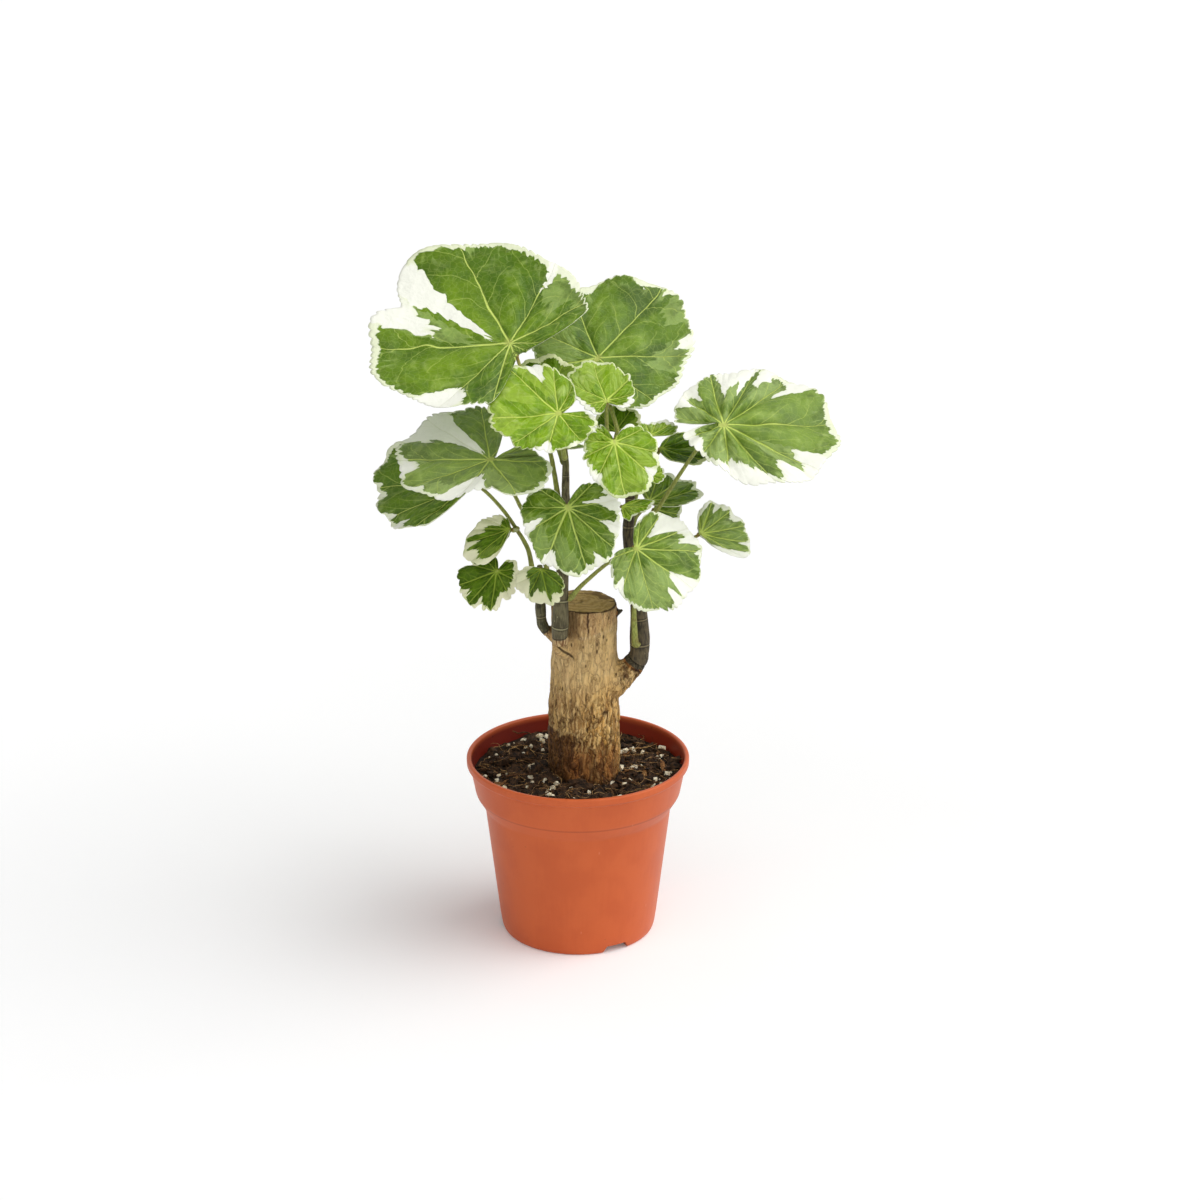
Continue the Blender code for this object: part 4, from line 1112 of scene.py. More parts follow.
def soil_bed():
    """The closed body of peat, with a pocket for the buried end of the trunk."""
    sides, rings = BED_CELLS
    clear = POT_FLOOR + POT_WALL + GAP
    angles = [360 * k / sides for k in range(sides)]
    points = [polar(FOOT_RADIUS - 4.3, a, clear) for a in angles]
    for _, height in POT_SIDE[1:4]:
        points += [polar(wall_at(height) - GAP, a, height) for a in angles]
    points += soil_surface(sides, rings)
    for height in (TRUNK[1][0], TRUNK[0][0] - GAP):
        centre, radius = trunk_at(height)
        points += [Vector((centre.x, centre.y, height)) + polar(radius + GAP, a) for a in angles]
    loops = len(points) // sides
    return mesh_of(metres(points), end_faces(sides, loops) + band_faces(sides, loops))


def open_soil():
    """The soil's top alone, which grains are scattered over."""
    sides, rings = SCATTER_CELLS
    return mesh_of(metres(soil_surface(sides, rings)), band_faces(sides, rings + 1)[sides:])


GRAIN_VARIANTS = 4
# How far each kind of fibre bends, in radians.
FIBRE_SWEEPS = (0.7, 1.5, 2.4)
FULL_TURN = 6.28
WALL_MARGIN = 0.2


def grain_tree():
    """Scatter rough grains over a surface."""
    tree = Growth("scattered grains", Density=("Float", 1e5), Clumping=("Float", 0.0),
                  Smallest=("Float", 0.001), Largest=("Float", 0.003), Length=("Float", 1.0),
                  Flatness=("Float", 0.8), Sink=("Float", 0.0), Lumps=("Float", 1.1), Detail=("Int", 1),
                  Seed=("Int", 1), Material=("Material", None))
    seed = tree.input("Seed")
    drift = tree.noise(tree.scaled(tree.node("GeometryNodeInputPosition"), 90.0), 1.0, 2)
    crowd = 1 - tree.input("Clumping") * (1 - tree.step(drift, 0.46, 0.6))
    variants = []
    for k in range(GRAIN_VARIANTS):
        ball = tree.node("GeometryNodeMeshIcoSphere", None, {
            "Radius": 0.5, "Subdivisions": tree.input("Detail")})
        variants.append(tree.dented(ball, (7.0 * k, 3.0 * k, 0.0), 2.2, tree.input("Lumps")))
    size = tree.random(tree.input("Smallest"), tree.input("Largest"), seed + 11)
    size = size * size / tree.input("Largest") + tree.input("Smallest") * 0.3
    scale = tree.join(size * tree.input("Length"), size * tree.random(0.7, 1.0, seed + 12),
                      size * tree.input("Flatness"))
    tilt = tree.random((-0.7, -0.7, 0.0), (0.7, 0.7, FULL_TURN), seed + 13)
    grains = tree.scattered(variants, tree.input("Density") * crowd, size * tree.input("Sink"), tilt, scale)
    return tree.close(grains, False)


def fibre_tree():
    """Scatter thin bent fibres over a surface."""
    tree = Growth("scattered fibres", Density=("Float", 1e4), Length=("Float", 0.01),
                  Thickness=("Float", 0.0002), Lift=("Float", 0.0006), Seed=("Int", 1),
                  Material=("Material", None))
    seed, length = tree.input("Seed"), tree.input("Length")
    strands = []
    for k, sweep in enumerate(FIBRE_SWEEPS):
        arc = tree.node("GeometryNodeCurveArc", {"mode": "RADIUS"}, {
            "Resolution": 7, "Radius": length / sweep, "Start Angle": 0.0, "Sweep Angle": sweep})
        thread = tree.node("GeometryNodeCurvePrimitiveCircle", {"mode": "RADIUS"}, {
            "Resolution": 4, "Radius": tree.input("Thickness")})
        strand = tree.node("GeometryNodeCurveToMesh", None, {
            "Curve": tree.dented(arc, (k, 0.0, 0.0), 260.0, 0.004), "Profile Curve": thread,
            "Fill Caps": True})
        middle = tree.join(length * (-1 / sweep), 0.0, 0.0)
        strands.append(tree.node("GeometryNodeTransform", None, {"Geometry": strand, "Translation": middle}))
    turn = tree.random((-0.3, -0.3, 0.0), (0.3, 0.3, FULL_TURN), seed + 5)
    lift = tree.random(0.0, tree.input("Lift"), seed + 6)
    size = tree.random(0.45, 1.0, seed + 7)
    fibres = tree.scattered(strands, tree.input("Density"), lift, turn, tree.join(size, size, size))
    return tree.close(fibres, True)


def keep_inside(thing):
    """Bend whatever pokes through the pot's wall back along it."""
    places = places_of(thing.data)
    clear = wall_at(places[:, 2]) - WALL_MARGIN
    places[:, :2] *= np.minimum(1.0, clear / np.hypot(places[:, 0], places[:, 1]))[:, None]
    put(thing.data, places)


def make_soil(look):
    dark = colour(20, 13, 8)
    crumb = soil_finish("peat crumbs", dark, colour(80, 56, 36), 0.35)
    husk = soil_finish("bark bits", colour(74, 46, 26), colour(158, 112, 66), 0.7)
    perlite = soil_finish("perlite", colour(228, 208, 168), colour(255, 250, 230), 0.6)
    root = soil_finish("root fibres", colour(78, 52, 30), colour(206, 164, 108), 0.25)
    thick_root = soil_finish("thick roots", colour(50, 32, 20), colour(122, 86, 52), 0.4)
    bed = add_object("soil_bed", soil_bed(), soil_finish("peat", dark, opaque(look.peat_colour), 0.5))
    settle(bed, "soil", "soil")
    area = math.pi * ((wall_at(SOIL_LEVEL) * MM) ** 2 - (TRUNK[2][3] * MM) ** 2)
    grains, fibres = grain_tree(), fibre_tree()
    scatters = (
        ("soil_crumbs_fine", grains, look.crumbs * 2, crumb, dict(
            Smallest=0.0008, Largest=0.0024, Flatness=0.8, Seed=3)),
        ("soil_crumbs", grains, look.crumbs, crumb, dict(
            Smallest=0.002, Largest=0.0058, Flatness=0.7, Seed=5, Length=1.3)),
        ("soil_clods", grains, look.clods, crumb, dict(
            Smallest=0.0045, Largest=0.0105, Flatness=0.6, Seed=6, Length=1.2, Detail=2)),
        ("soil_bark_bits", grains, look.bark_bits, husk, dict(
            Smallest=0.0014, Largest=0.0036, Flatness=0.3, Seed=8, Length=2.6, Sink=0.25)),
        ("soil_perlite", grains, look.perlite, perlite, dict(
            Smallest=0.0012, Largest=0.0037, Flatness=0.85, Seed=14, Clumping=0.85, Sink=0.35, Lumps=0.9,
            Length=1.15, Detail=2)),
        ("soil_fibres", fibres, look.fibres, root, dict(Length=0.018, Thickness=0.0002, Lift=0.004, Seed=4)),
        ("soil_roots", fibres, look.fibres * 0.45, thick_root, dict(
            Length=0.02, Thickness=0.0004, Lift=0.002, Seed=9)),
    )
    for name, tree, count, finish, values in scatters:
        piece = tree.grow(name, open_soil(), Density=count / area, Material=finish, **values)
        keep_inside(piece)
        settle(piece, "soil")


# ---------------------------------------------------------------- trunk

def tube_mesh(points, radii, sides):
    """A closed tube along a path, in table millimetres."""
    points = np.asarray(points, float)
    along = np.gradient(points, axis=0)
    side = unit(np.cross(along[0], (0.3, 1.0, 0.2)))
    turns = np.linspace(0, math.tau, sides, endpoint=False)[:, None]
    rings = []
    for place, way, radius in zip(points, along, radii):
        way = unit(way)
        side = unit(side - way * side.dot(way))
        up = np.cross(way, side)
        rings.append(place + radius * (np.cos(turns) * side + np.sin(turns) * up))
    return np.vstack(rings), band_faces(sides, len(points)) + end_faces(sides, len(points))


def saw_height(place):
    """Height of the saw cut over a place."""
    return TRUNK[-1][0] - SAW_SLOPE * (place[..., 0] - TRUNK[-1][1])


def trunk_body(voxel):
    """The trunk and its collars fused into one even skin."""
    heights = np.arange(TRUNK[0][0], TRUNK[-1][0] + 0.1, 3.0)
    heights[-1] = TRUNK[-1][0]
    places, radii = zip(*[trunk_at(h) for h in heights])
    parts = [tube_mesh(places, radii, TRUNK_SIDES)]
    top = parts[0][0][-TRUNK_SIDES:]
    top[:, 2] = saw_height(top)
    for branch in (*COLLARS.values(), SPUR):
        parts.append(tube_mesh(*smooth_run(branch, 3), COLLAR_SIDES))
    points, faces = [], []
    for part_points, part_faces in parts:
        faces += [tuple(i + len(points) for i in face) for face in part_faces]
        points += list(part_points)
    body = add_object("trunk_body", mesh_of(metres(points), faces))
    remesh = body.modifiers.new("skin", "REMESH")
    remesh.mode = "VOXEL"
    remesh.voxel_size = voxel
    ease = body.modifiers.new("ease", "SMOOTH")
    ease.factor = 0.5
    ease.iterations = 4
    mesh = evaluated_mesh(body)
    bpy.data.objects.remove(body)
    return mesh


def nearest_on_run(places, run):
    """Distance of each place to a path and how far along the path it lies, 0 to 1."""
    best = np.full(len(places), 1e9)
    share = np.zeros(len(places))
    count = len(run.points) - 1
    for k in range(count):
        a, b = run.points[k], run.points[k + 1]
        t = np.clip((places - a) @ (b - a) / ((b - a) @ (b - a)), 0, 1)
        gap = np.linalg.norm(places - a - t[:, None] * (b - a), axis=1)
        closer = gap < best
        best[closer] = gap[closer]
        share[closer] = (k + t[closer]) / count
    return best, share


def soft_step(value, low, high):
    t = np.clip((value - low) / (high - low), 0, 1)
    return t * t * (3 - 2 * t)


def grain(x, y, seed):
    """Smooth random numbers from -1 to 1 over a plane."""
    def corner(i, j):
        n = np.sin(i * 12.71 + j * 31.17 + seed * 7.47) * 4375.85
        return (n - np.floor(n)) * 2 - 1

    i, j = np.floor(x), np.floor(y)
    u, v = soft_step(x - i, 0, 1), soft_step(y - j, 0, 1)
    low = corner(i, j) * (1 - u) + corner(i + 1, j) * u
    return low * (1 - v) + (corner(i, j + 1) * (1 - u) + corner(i + 1, j + 1) * u) * v


def bark_relief(place):
    """Height of the bark in millimetres and the depth of its pits, at a place."""
    def drawn(x, y, z):
        return Vector((place.x * x, place.y * y, place.z * z))

    upright = drawn(1.0, 1.0, 0.2)
    ridge = 1 - abs(noise.noise(upright * 0.42)) * 2.2
    fine = noise.fractal(upright * 0.9, 0.8, 2.1, 3)
    lump = noise.noise(place * 0.11)
    low = float(soft_step(154.0 - place.z, 0, 40))
    rough = max(0.35 + 0.65 * low, float(soft_step(place.x, 20, 26)))
    warp = noise.noise_vector(place * 0.2) * 0.5
    gaps = noise.voronoi(drawn(0.3, 0.3, 0.1) + warp)
    edge = min(1.0, (gaps[0][1] - gaps[0][0]) / 0.35)
    strip = noise.noise(drawn(0.26, 0.26, 0.055) + warp * 0.8)
    chip = noise.cell(gaps[1][0] * 7.3) * 0.3 + edge * 0.25 + min(1.0, abs(strip) / 0.14) * 0.6
    pit = max(0.0, noise.noise(drawn(1.0, 1.0, 0.45) * 0.55 + Vector((9, 4, 2))) - 0.34) * 3
    height = rough * (ridge * 0.25 + fine * 0.35 + chip * (0.3 + 0.7 * low) - pit) + lump * 0.8
    return height - 0.5 * rough, min(1.0, pit * rough * 1.4)


def make_trunk(look):
    mesh = trunk_body(look.bark_cell)
    places, normals = places_of(mesh), vertex_rows(mesh, "normal")
    radial = np.hypot(places[:, 0] - TRUNK[-1][1], places[:, 1] - TRUNK[-1][2])
    cut = soft_step(places[:, 2] - saw_height(places), -1.1, -0.5)
    cut = cut * (normals[:, 2] > 0.3) * (radial < CUT_RADIUS)
    shoot = np.zeros(len(places))
    for run, start in zip((*COLLARS.values(), SPUR), SKIN_STARTS):
        path = smooth_run(run, 3)
        gap, share = nearest_on_run(places, path)
        near = soft_step(-gap, -(path.radii[0] + 1.0), -path.radii[-1])
        shoot = np.maximum(shoot, near * soft_step(share, start, start + 0.2))
    noise.seed_set(BARK_SEED)
    relief = np.array([bark_relief(Vector(p)) for p in places])
    height = relief[:, 0] * look.bark_depth / MM * (1 - cut) * (1 - 0.6 * shoot)
    x, y = places[:, 0], places[:, 1]
    height += cut * (grain(x / 4, y / 4, 1) + 0.6 * grain(x / 1.7, y / 1.7, 2)) * 0.3
    places = places + normals * height[:, None]
    put(mesh, places)
    store(mesh, "cut", cut)
    store(mesh, "shoot", shoot)
    store(mesh, "pit", relief[:, 1] * (1 - cut))
    mesh.shade_smooth()
    trunk = add_object("trunk_bark", mesh, bark_finish(look.bark_colour))
    settle(trunk, "bark", "trunk")


# ---------------------------------------------------------------- stems and petioles

def shoot_tree():
    """Grow a bumpy round skin along a line whose points carry their girth."""
    tree = Growth("shoot skin", Sides=("Int", 12), Ring_spacing=("Float", 0.001),
                  Bump_height=("Float", 0.0002), Bump_scale=("Float", 300.0), Seed=("Float", 0.0),
                  Material=("Material", None))
    line = tree.node("GeometryNodeMeshToCurve", None, {"Mesh": tree.input("Geometry")})
    girth = tree.node("GeometryNodeInputNamedAttribute", {"data_type": "FLOAT"}, {"Name": "girth"},
                      "Attribute")
    line = tree.node("GeometryNodeSetCurveRadius", None, {"Curve": line, "Radius": girth})
    line = tree.node("GeometryNodeResampleCurve", {"mode": "LENGTH"}, {
        "Curve": line, "Length": tree.input("Ring spacing")})
    ring = tree.node("GeometryNodeCurvePrimitiveCircle", {"mode": "RADIUS"}, {
        "Resolution": tree.input("Sides"), "Radius": 1.0})
    skin = tree.node("GeometryNodeCurveToMesh", None, {
        "Curve": line, "Profile Curve": ring, "Scale": tree.node("GeometryNodeInputRadius"),
        "Fill Caps": True})
    spot = tree.stretched(tree.node("GeometryNodeInputPosition"), 1.0, 1.0, 0.35)
    spot = tree.vector("ADD", tree.scaled(spot, tree.input("Bump scale")), tree.join(tree.input("Seed")))
    swell = (tree.noise(spot, 1.0, 3) - 0.5) * tree.input("Bump height") * 2
    push = tree.scaled(tree.node("GeometryNodeInputNormal"), swell)
    return tree.close(tree.moved(skin, push), True)


# Sizes of the skin that the shoot tree grows, in metres.
PETIOLE_SKIN = dict(Sides=12, Ring_spacing=0.0008, Bump_height=0.00012, Bump_scale=500.0)
STEM_SKIN = dict(Sides=24, Ring_spacing=0.0009, Bump_scale=420.0)


def line_mesh(run):
    """A run as a mesh line in metres, with girth, share and millimetres along it."""
    mesh = bpy.data.meshes.new("line")
    count = len(run.points)
    mesh.from_pydata([tuple(p) for p in metres(run.points)], [(k, k + 1) for k in range(count - 1)], [])
    lengths = np.append(0, np.cumsum(np.linalg.norm(np.diff(run.points, axis=0), axis=1)))
    store(mesh, "girth", np.asarray(run.radii) * MM)
    store(mesh, "along", lengths / lengths[-1])
    store(mesh, "millimetres", lengths)
    return mesh


def make_stems(look):
    tree = shoot_tree()
    paths = all_paths()
    skins = {
        "left": (colour(62, 60, 40), colour(118, 112, 82), colour(170, 158, 120), 0.8),
        "front": (colour(72, 66, 46), colour(116, 108, 80), colour(182, 176, 134), 2.6),
        "right": (colour(48, 42, 30), colour(98, 86, 62), colour(150, 136, 100), -2.0),
    }
    for side, skin in skins.items():
        run = smooth_run(paths["stem_" + side], 4)
        radii = run.radii * (1 + 0.05 * np.cos(np.linspace(0, 26, len(run.radii))))
        piece = tree.grow("stem_%s_skin" % side, line_mesh(Run(run.points, radii)), **STEM_SKIN,
                          Bump_height=look.stem_bumps, Seed=float(len(side)),
                          Material=stem_finish("stem " + side, *skin))
        settle(piece, "stem", "stem_" + side)


# How far a petiole's tip runs into the space under its blade, and the reach below which a leaf
# has the thinner petiole.
PETIOLE_BITE = 0.25
TINY_REACH = 20


def petiole_shape(name, path):
    """A petiole's run, clasping at its foot and thickened where it meets the blade."""
    leaf = LEAVES[name]
    out = blade_axes(leaf)[2]
    run = smooth_run(path, 4)
    points = np.vstack([run.points, np.array(leaf.hub) - out * PETIOLE_BITE])
    radii = np.append(run.radii, run.radii[-1])
    share = np.linspace(0, 1, len(radii))
    size = 0.7 if max(leaf.reach) < TINY_REACH else 0.86
    grasp = 1.3 if name == "fan_right" else 0.8
    clasp = 1 + grasp * np.exp(-share * 7) + 0.35 * np.exp(-(1 - share) * 26)
    return Run(points, radii * clasp * size)


def make_petioles(look):
    tree = shoot_tree()
    finish = petiole_finish(look.petiole_colour)
    paths = all_paths()
    for k, name in enumerate(LEAVES):
        run = petiole_shape(name, paths["petiole_" + name])
        piece = tree.grow("petiole_%s_skin" % name, line_mesh(run), **PETIOLE_SKIN, Seed=float(k),
                          Material=finish)
        settle(piece, "petiole", "petiole_" + name)


# ---------------------------------------------------------------- leaves

def plain_skin(leaf, index):
    """A skin for a leaf with no listed one: evenly spread veins and an uneven green area."""
    steps = len(leaf.reach) - 1
    veins = np.arange(0.5, steps, 1.0)
    places = np.linspace(0, steps, steps * 6 + 1)
    green, grey = [], []
    for u in places:
        wave = noise.noise(Vector((u * 1.3, index * 3.7, 0))) + 0.5 * noise.noise(Vector((u * 4, index, 5)))
        green += [u, 8.7 + min(0.9, wave * 1.4) - 3.5 * max(0.0, wave - 0.42)]
        grey += [u, 10 if noise.noise(Vector((u * 1.1, index * 2.3, 9))) < 0.18 else 4]
    return Skin(steps / 2, tuple(veins), tuple(green), tuple(grey))


def margin(name, spokes, index, tooth):
    """Directions in degrees and reaches of a blade's margin, with its teeth."""
    leaf = LEAVES[name]
    reach = smooth(leaf.reach, spokes)[:, 0]
    u = np.arange(len(reach)) / spokes
    turn = leaf.first + leaf.step * u
    reach = reach * (1 - LOBE_NOTCH * np.sin(math.pi * u) ** 2)
    for place, depth, width in BITES.get(name, ()):
        reach = reach * (1 - depth * np.exp(-np.abs((u - place) / width) ** 1.5))
    x, y = reach * np.cos(np.radians(turn)), reach * np.sin(np.radians(turn))
    length = np.append(0, np.cumsum(np.hypot(np.diff(x), np.diff(y))))
    size = min(1.0, max(leaf.reach) / FULL_TOOTH_REACH)
    pitch = TOOTH_PITCH[0] + TOOTH_PITCH[1] * size
    t = np.mod(length / pitch + grain(length / 11, 0 * length, index) * 0.8, 1.0)
    height = tooth * (0.45 + 0.55 * size) * (0.8 + 0.7 * grain(length / 8, 0 * length, index + 40))
    reach = reach + height * (1.9 * t ** 0.9 * (1 - t) ** 0.35 - 0.6)
    last = u[-1]
    near_end = np.clip(np.minimum(u, last - u) / 0.28, 0, 1)
    return turn, u, reach * np.sqrt(0.02 + 0.98 * (1 - (1 - near_end) ** 2))


def rib_frame(leaf, skin, x, y, u, turn, reach):
    """Vein count, share from the heart, and millimetres to a vein step, at each place of a blade."""
    rib_turn = math.radians(leaf.first + leaf.step * skin.midrib)
    rib_reach = np.interp(skin.midrib, u, reach)
    heart = skin.heart * rib_reach * np.array((math.cos(rib_turn), math.sin(rib_turn)))

    def around(px, py):
        angle = np.arctan2(py - heart[1], px - heart[0]) - rib_turn
        return np.mod(angle + math.pi, math.tau) - math.pi, np.hypot(px - heart[0], py - heart[1])

    radians = np.radians(turn)
    rim_angle, rim_reach = around(reach * np.cos(radians), reach * np.sin(radians))
    rim_angle = np.maximum.accumulate(rim_angle + np.arange(len(rim_angle)) * 1e-7)
    vein_angle = np.interp(skin.veins, u, rim_angle)
    gaps = np.diff(vein_angle)
    angle, rho = around(x, y)
    count = np.interp(angle, vein_angle, np.arange(len(vein_angle)))
    count += np.minimum(0, angle - vein_angle[0]) / gaps[0] + np.maximum(0, angle - vein_angle[-1]) / gaps[-1]
    spacing = np.interp(angle, (vein_angle[:-1] + vein_angle[1:]) / 2, gaps)
    share = rho / np.maximum(np.interp(angle, rim_angle, rim_reach), 1e-3)
    return count, np.minimum(share, 1.2), rho * spacing, np.interp(angle, rim_angle, rim_reach)


def blade_mesh(name, index, look):
    """Both faces and the rim of one blade, with the places its finish reads."""
    leaf = LEAVES[name]
    skin = SKINS.get(name) or plain_skin(leaf, index)
    biggest = max(leaf.reach)
    spokes = int(np.clip(biggest * math.radians(leaf.step) / SPOKE_SPACING, 12, 90))
    rings = int(np.clip(biggest / RING_SPACING, 12, 44))
    turn, u, reach = margin(name, spokes, index, look.tooth / MM)
    share = (np.arange(1, rings + 1) / rings) ** 0.9
    radians = np.radians(turn)[:, None]
    rho = reach[:, None] * share[None, :]
    x, y = (rho * np.cos(radians)).ravel(), (rho * np.sin(radians)).ravel()
    count, rib_share, span, rim = rib_frame(leaf, skin, x, y, u, turn, reach)
    flat_share = np.tile(share, len(u))
    flat_u = np.repeat(u, rings)

    fold = np.abs(np.mod(count + 0.5, 1) - 0.5) * 2
    body = soft_step(flat_share, 0.05, 0.35) * (1 - 0.75 * flat_share ** 3)
    scale = min(1.0, biggest / 60)
    puff = skin.pleat * look.pucker / MM * (0.5 + 0.5 * scale) * (np.sin(math.pi / 2 * fold) - 0.5) * body
    quilt = 0.7 * (0.4 + 0.6 * scale) * grain(count * 2.0, flat_share * biggest / 9, index + 60) * body
    phase = 2.1 * index
    ripple = 1.1 * scale * flat_share ** 4 * np.sin(2 * math.pi * 0.83 * flat_u + phase)
    swing = np.sin(x / biggest * 4 + phase) * np.cos(y / biggest * 5)
    wave = 0.9 * scale * soft_step(flat_share, 0.1, 0.8) * swing
    lift = leaf.cup * (rho.ravel() / biggest) ** 2 + puff + quilt + ripple + wave

    right, up, out = blade_axes(leaf)
    top = np.array(leaf.hub) + x[:, None] * right + y[:, None] * up + lift[:, None] * out
    top = np.vstack([np.array(leaf.hub), top])
    thick = look.blade_thickness / MM * (1 - 0.45 * np.append(0, flat_share) ** 6)
    bottom = top - thick[:, None] * out
    half = len(top)

    def at(spoke, ring):
        return 1 + spoke * rings + ring

    faces = []
    for s in range(len(u) - 1):
        faces.append((0, at(s, 0), at(s + 1, 0)))
        faces += [(at(s, k), at(s, k + 1), at(s + 1, k + 1), at(s + 1, k)) for k in range(rings - 1)]
    faces += [tuple(half + i for i in reversed(face)) for face in faces]
    border = [0] + [at(0, k) for k in range(rings)] + [at(s, rings - 1) for s in range(1, len(u))]
    border += [at(len(u) - 1, k) for k in range(rings - 2, -1, -1)]
    for a, b in zip(border, border[1:] + border[:1]):
        faces.append((b, a, half + a, half + b))
    mesh = mesh_of(metres(np.vstack([top, bottom])), faces)

    def both(first, values):
        column = np.append(first, values)
        return np.concatenate([column, column])

    mm_out = flat_share * biggest
    stray = 0.025 * grain(mm_out / 6, flat_u * 1.5, index)
    stray += 0.06 * grain(mm_out / 2.6, flat_u * 3, index + 20)
    strayed = np.clip(flat_u + stray, 0, u[-1])
    gap = 1 - np.interp(strayed, skin.green[::2], skin.green[1::2]) / 10
    green = 1 - gap * (0.55 + 0.45 * soft_step(gap, 0.08, 0.25)) - flat_share
    grey = np.interp(strayed, skin.grey[::2], skin.grey[1::2]) / 10 - flat_share
    under = np.repeat((0.0, 1.0), half)
    middle = 20.0 * index + len(skin.veins) // 2
    store(mesh, "rib", np.stack([both(middle, count + 20.0 * index), both(0.0, rib_share),
                                 both(0.1, span)], 1))
    store(mesh, "hue", np.stack([both(1.0, green), both(1.0, grey), under], 1))
    store(mesh, "flat", np.stack([both(0.0, x) + 200 * index, both(0.0, y), both(biggest, rim)], 1))
    store(mesh, "shade", np.full(2 * half, skin.shade))
    return mesh


def make_leaves(look):
    green, cream = opaque(look.leaf_green), opaque(look.cream)
    grown = leaf_finish("leaf", Foliage(
        deep=green, light=colour(112, 144, 18), greyed=colour(138, 164, 82), cream=cream,
        rib=colour(204, 222, 112), rough=0.36, blister=0.22, lines=0.5, shine=0.16, mottle=0.6, glint=0.2,
        rims=0.6))
    small = leaf_finish("small leaf", Foliage(
        deep=dimmed(green, 0.75), light=colour(102, 138, 14), greyed=colour(130, 156, 56),
        cream=dimmed(cream, 0.96, 0.94, 0.74), rib=colour(164, 188, 72), rough=0.45, blister=0.22, lines=0.35,
        shine=0.04, mottle=0.6, glint=0.1, rims=1.0))
    fresh = leaf_finish("young leaf", Foliage(
        deep=opaque(look.young_green), light=colour(134, 172, 8), greyed=colour(154, 186, 56), cream=cream,
        rib=colour(208, 228, 104), rough=0.24, blister=0.3, lines=0.45, shine=0.32, mottle=0.5, glint=0.2,
        rims=1.1))
    for index, name in enumerate(LEAVES):
        is_young = name in YOUNG
        finish = fresh if is_young else small if name in SMALL else grown
        blade = add_object("leaf_%s_blade" % name, blade_mesh(name, index, look), finish)
        settle(blade, "young_leaf" if is_young else "leaf", "leaf_" + name)


# ---------------------------------------------------------------- stage

# The camera: metres from the pot's axis at the floor, degrees down from level, and millimetres.
CAMERA_PLACE = Vector((0.0119, -1.65, 0.8183))
CAMERA_DIP = 20.87
CAMERA_LENS = 100.0


def add_lamp(name, azimuth, elevation, spread, strength):
    """A broad, distant lamp. azimuth: from the front towards +X."""
    lamp = bpy.data.lights.new(name, "SUN")
    lamp.energy = strength * math.pi
    lamp.angle = math.radians(spread)
    thing = bpy.data.objects.new(name, lamp)
    bpy.context.scene.collection.objects.link(thing)
    turn, rise = math.radians(azimuth), math.radians(elevation)
    from_lamp = Vector((-math.sin(turn) * math.cos(rise), math.cos(turn) * math.cos(rise), -math.sin(rise)))
    thing.rotation_euler = from_lamp.to_track_quat("-Z", "Y").to_euler()


def seen_directly(board):
    """1 for rays that show a white surround as it is: the camera's, and those through metal or glass."""
    path = board.tree.nodes.new("ShaderNodeLightPath")
    camera, glossy, through = [Wire(board, path.outputs[n]) for n in (
        "Is Camera Ray", "Is Glossy Ray", "Is Transmission Ray")]
    return board.larger(board.larger(camera, glossy), through)


def make_floor(look):
    edge = look.floor_size / 2
    points = [(sx * edge + AXIS.x, sy * edge + AXIS.y, 0) for sx, sy in ((-1, -1), (1, -1), (1, 1), (-1, 1))]
    floor = add_object("floor", mesh_of(points, [(0, 1, 2, 3)]))
    paint = Paint("floor")
    cloud = paint.noise(paint.place(), 0.01, 2)
    paint.finish(paint.mix(cloud, colour(249, 249, 249), colour(247, 247, 247)), 0.9, None,
                 specular_ior_level=0.0)
    glow = paint.node("ShaderNodeEmission", None, {"Color": (1, 1, 1, 1),
                                                   "Strength": seen_directly(paint) * look.floor_glow})
    both = paint.node("ShaderNodeAddShader", None, {0: Wire(paint, paint.shader.outputs[0]), 1: glow})
    paint.tree.links.new(both.socket, paint.tree.nodes["Material Output"].inputs["Surface"])
    floor.data.materials.append(paint.material)


def make_world(look):
    world = bpy.data.worlds.new("studio")
    bpy.context.scene.world = world
    world.use_nodes = True
    board = Board(world.node_tree)
    sky = world.node_tree.nodes["Background"]
    sky.inputs["Color"].default_value = (1, 1, 1, 1)
    seen = seen_directly(board)
    board.feed(sky.inputs["Strength"], seen + (1 - seen) * look.sky)


def make_camera():
    data = bpy.data.cameras.new("camera")
    data.lens = CAMERA_LENS
    data.sensor_width = 36.0
    data.clip_end = 50.0
    camera = bpy.data.objects.new("camera", data)
    bpy.context.scene.collection.objects.link(camera)
    camera.location = AXIS + CAMERA_PLACE
    camera.rotation_euler = (math.radians(90 - CAMERA_DIP), 0, 0)
    bpy.context.scene.camera = camera


def make_stage(look):
    bpy.context.scene.view_settings.view_transform = "Standard"
    make_camera()
    make_floor(look)
    make_world(look)
    add_lamp("key", 88, 58, 60, look.key)
    add_lamp("side", 96, 30, 50, look.side)
    add_lamp("fill", 50, 42, 80, look.fill)
    add_lamp("left fill", -30, 24, 80, look.left_fill)


# ---------------------------------------------------------------- add-on

def hue(name, description, red, green, blue):
    return FloatVectorProperty(name=name, description=description, subtype="COLOR", size=3, min=0, max=1,
                               default=colour(red, green, blue)[:3])


def amount(name, description, default, least=1):
    return IntProperty(name=name, description=description, default=default, min=least)


def length(name, description, default, least=0.0):
    return FloatProperty(name=name, description=description, default=default, min=least, subtype="DISTANCE",
                         unit="LENGTH")


def light(name, description, default):
    return FloatProperty(name=name, description=description, default=default, min=0)


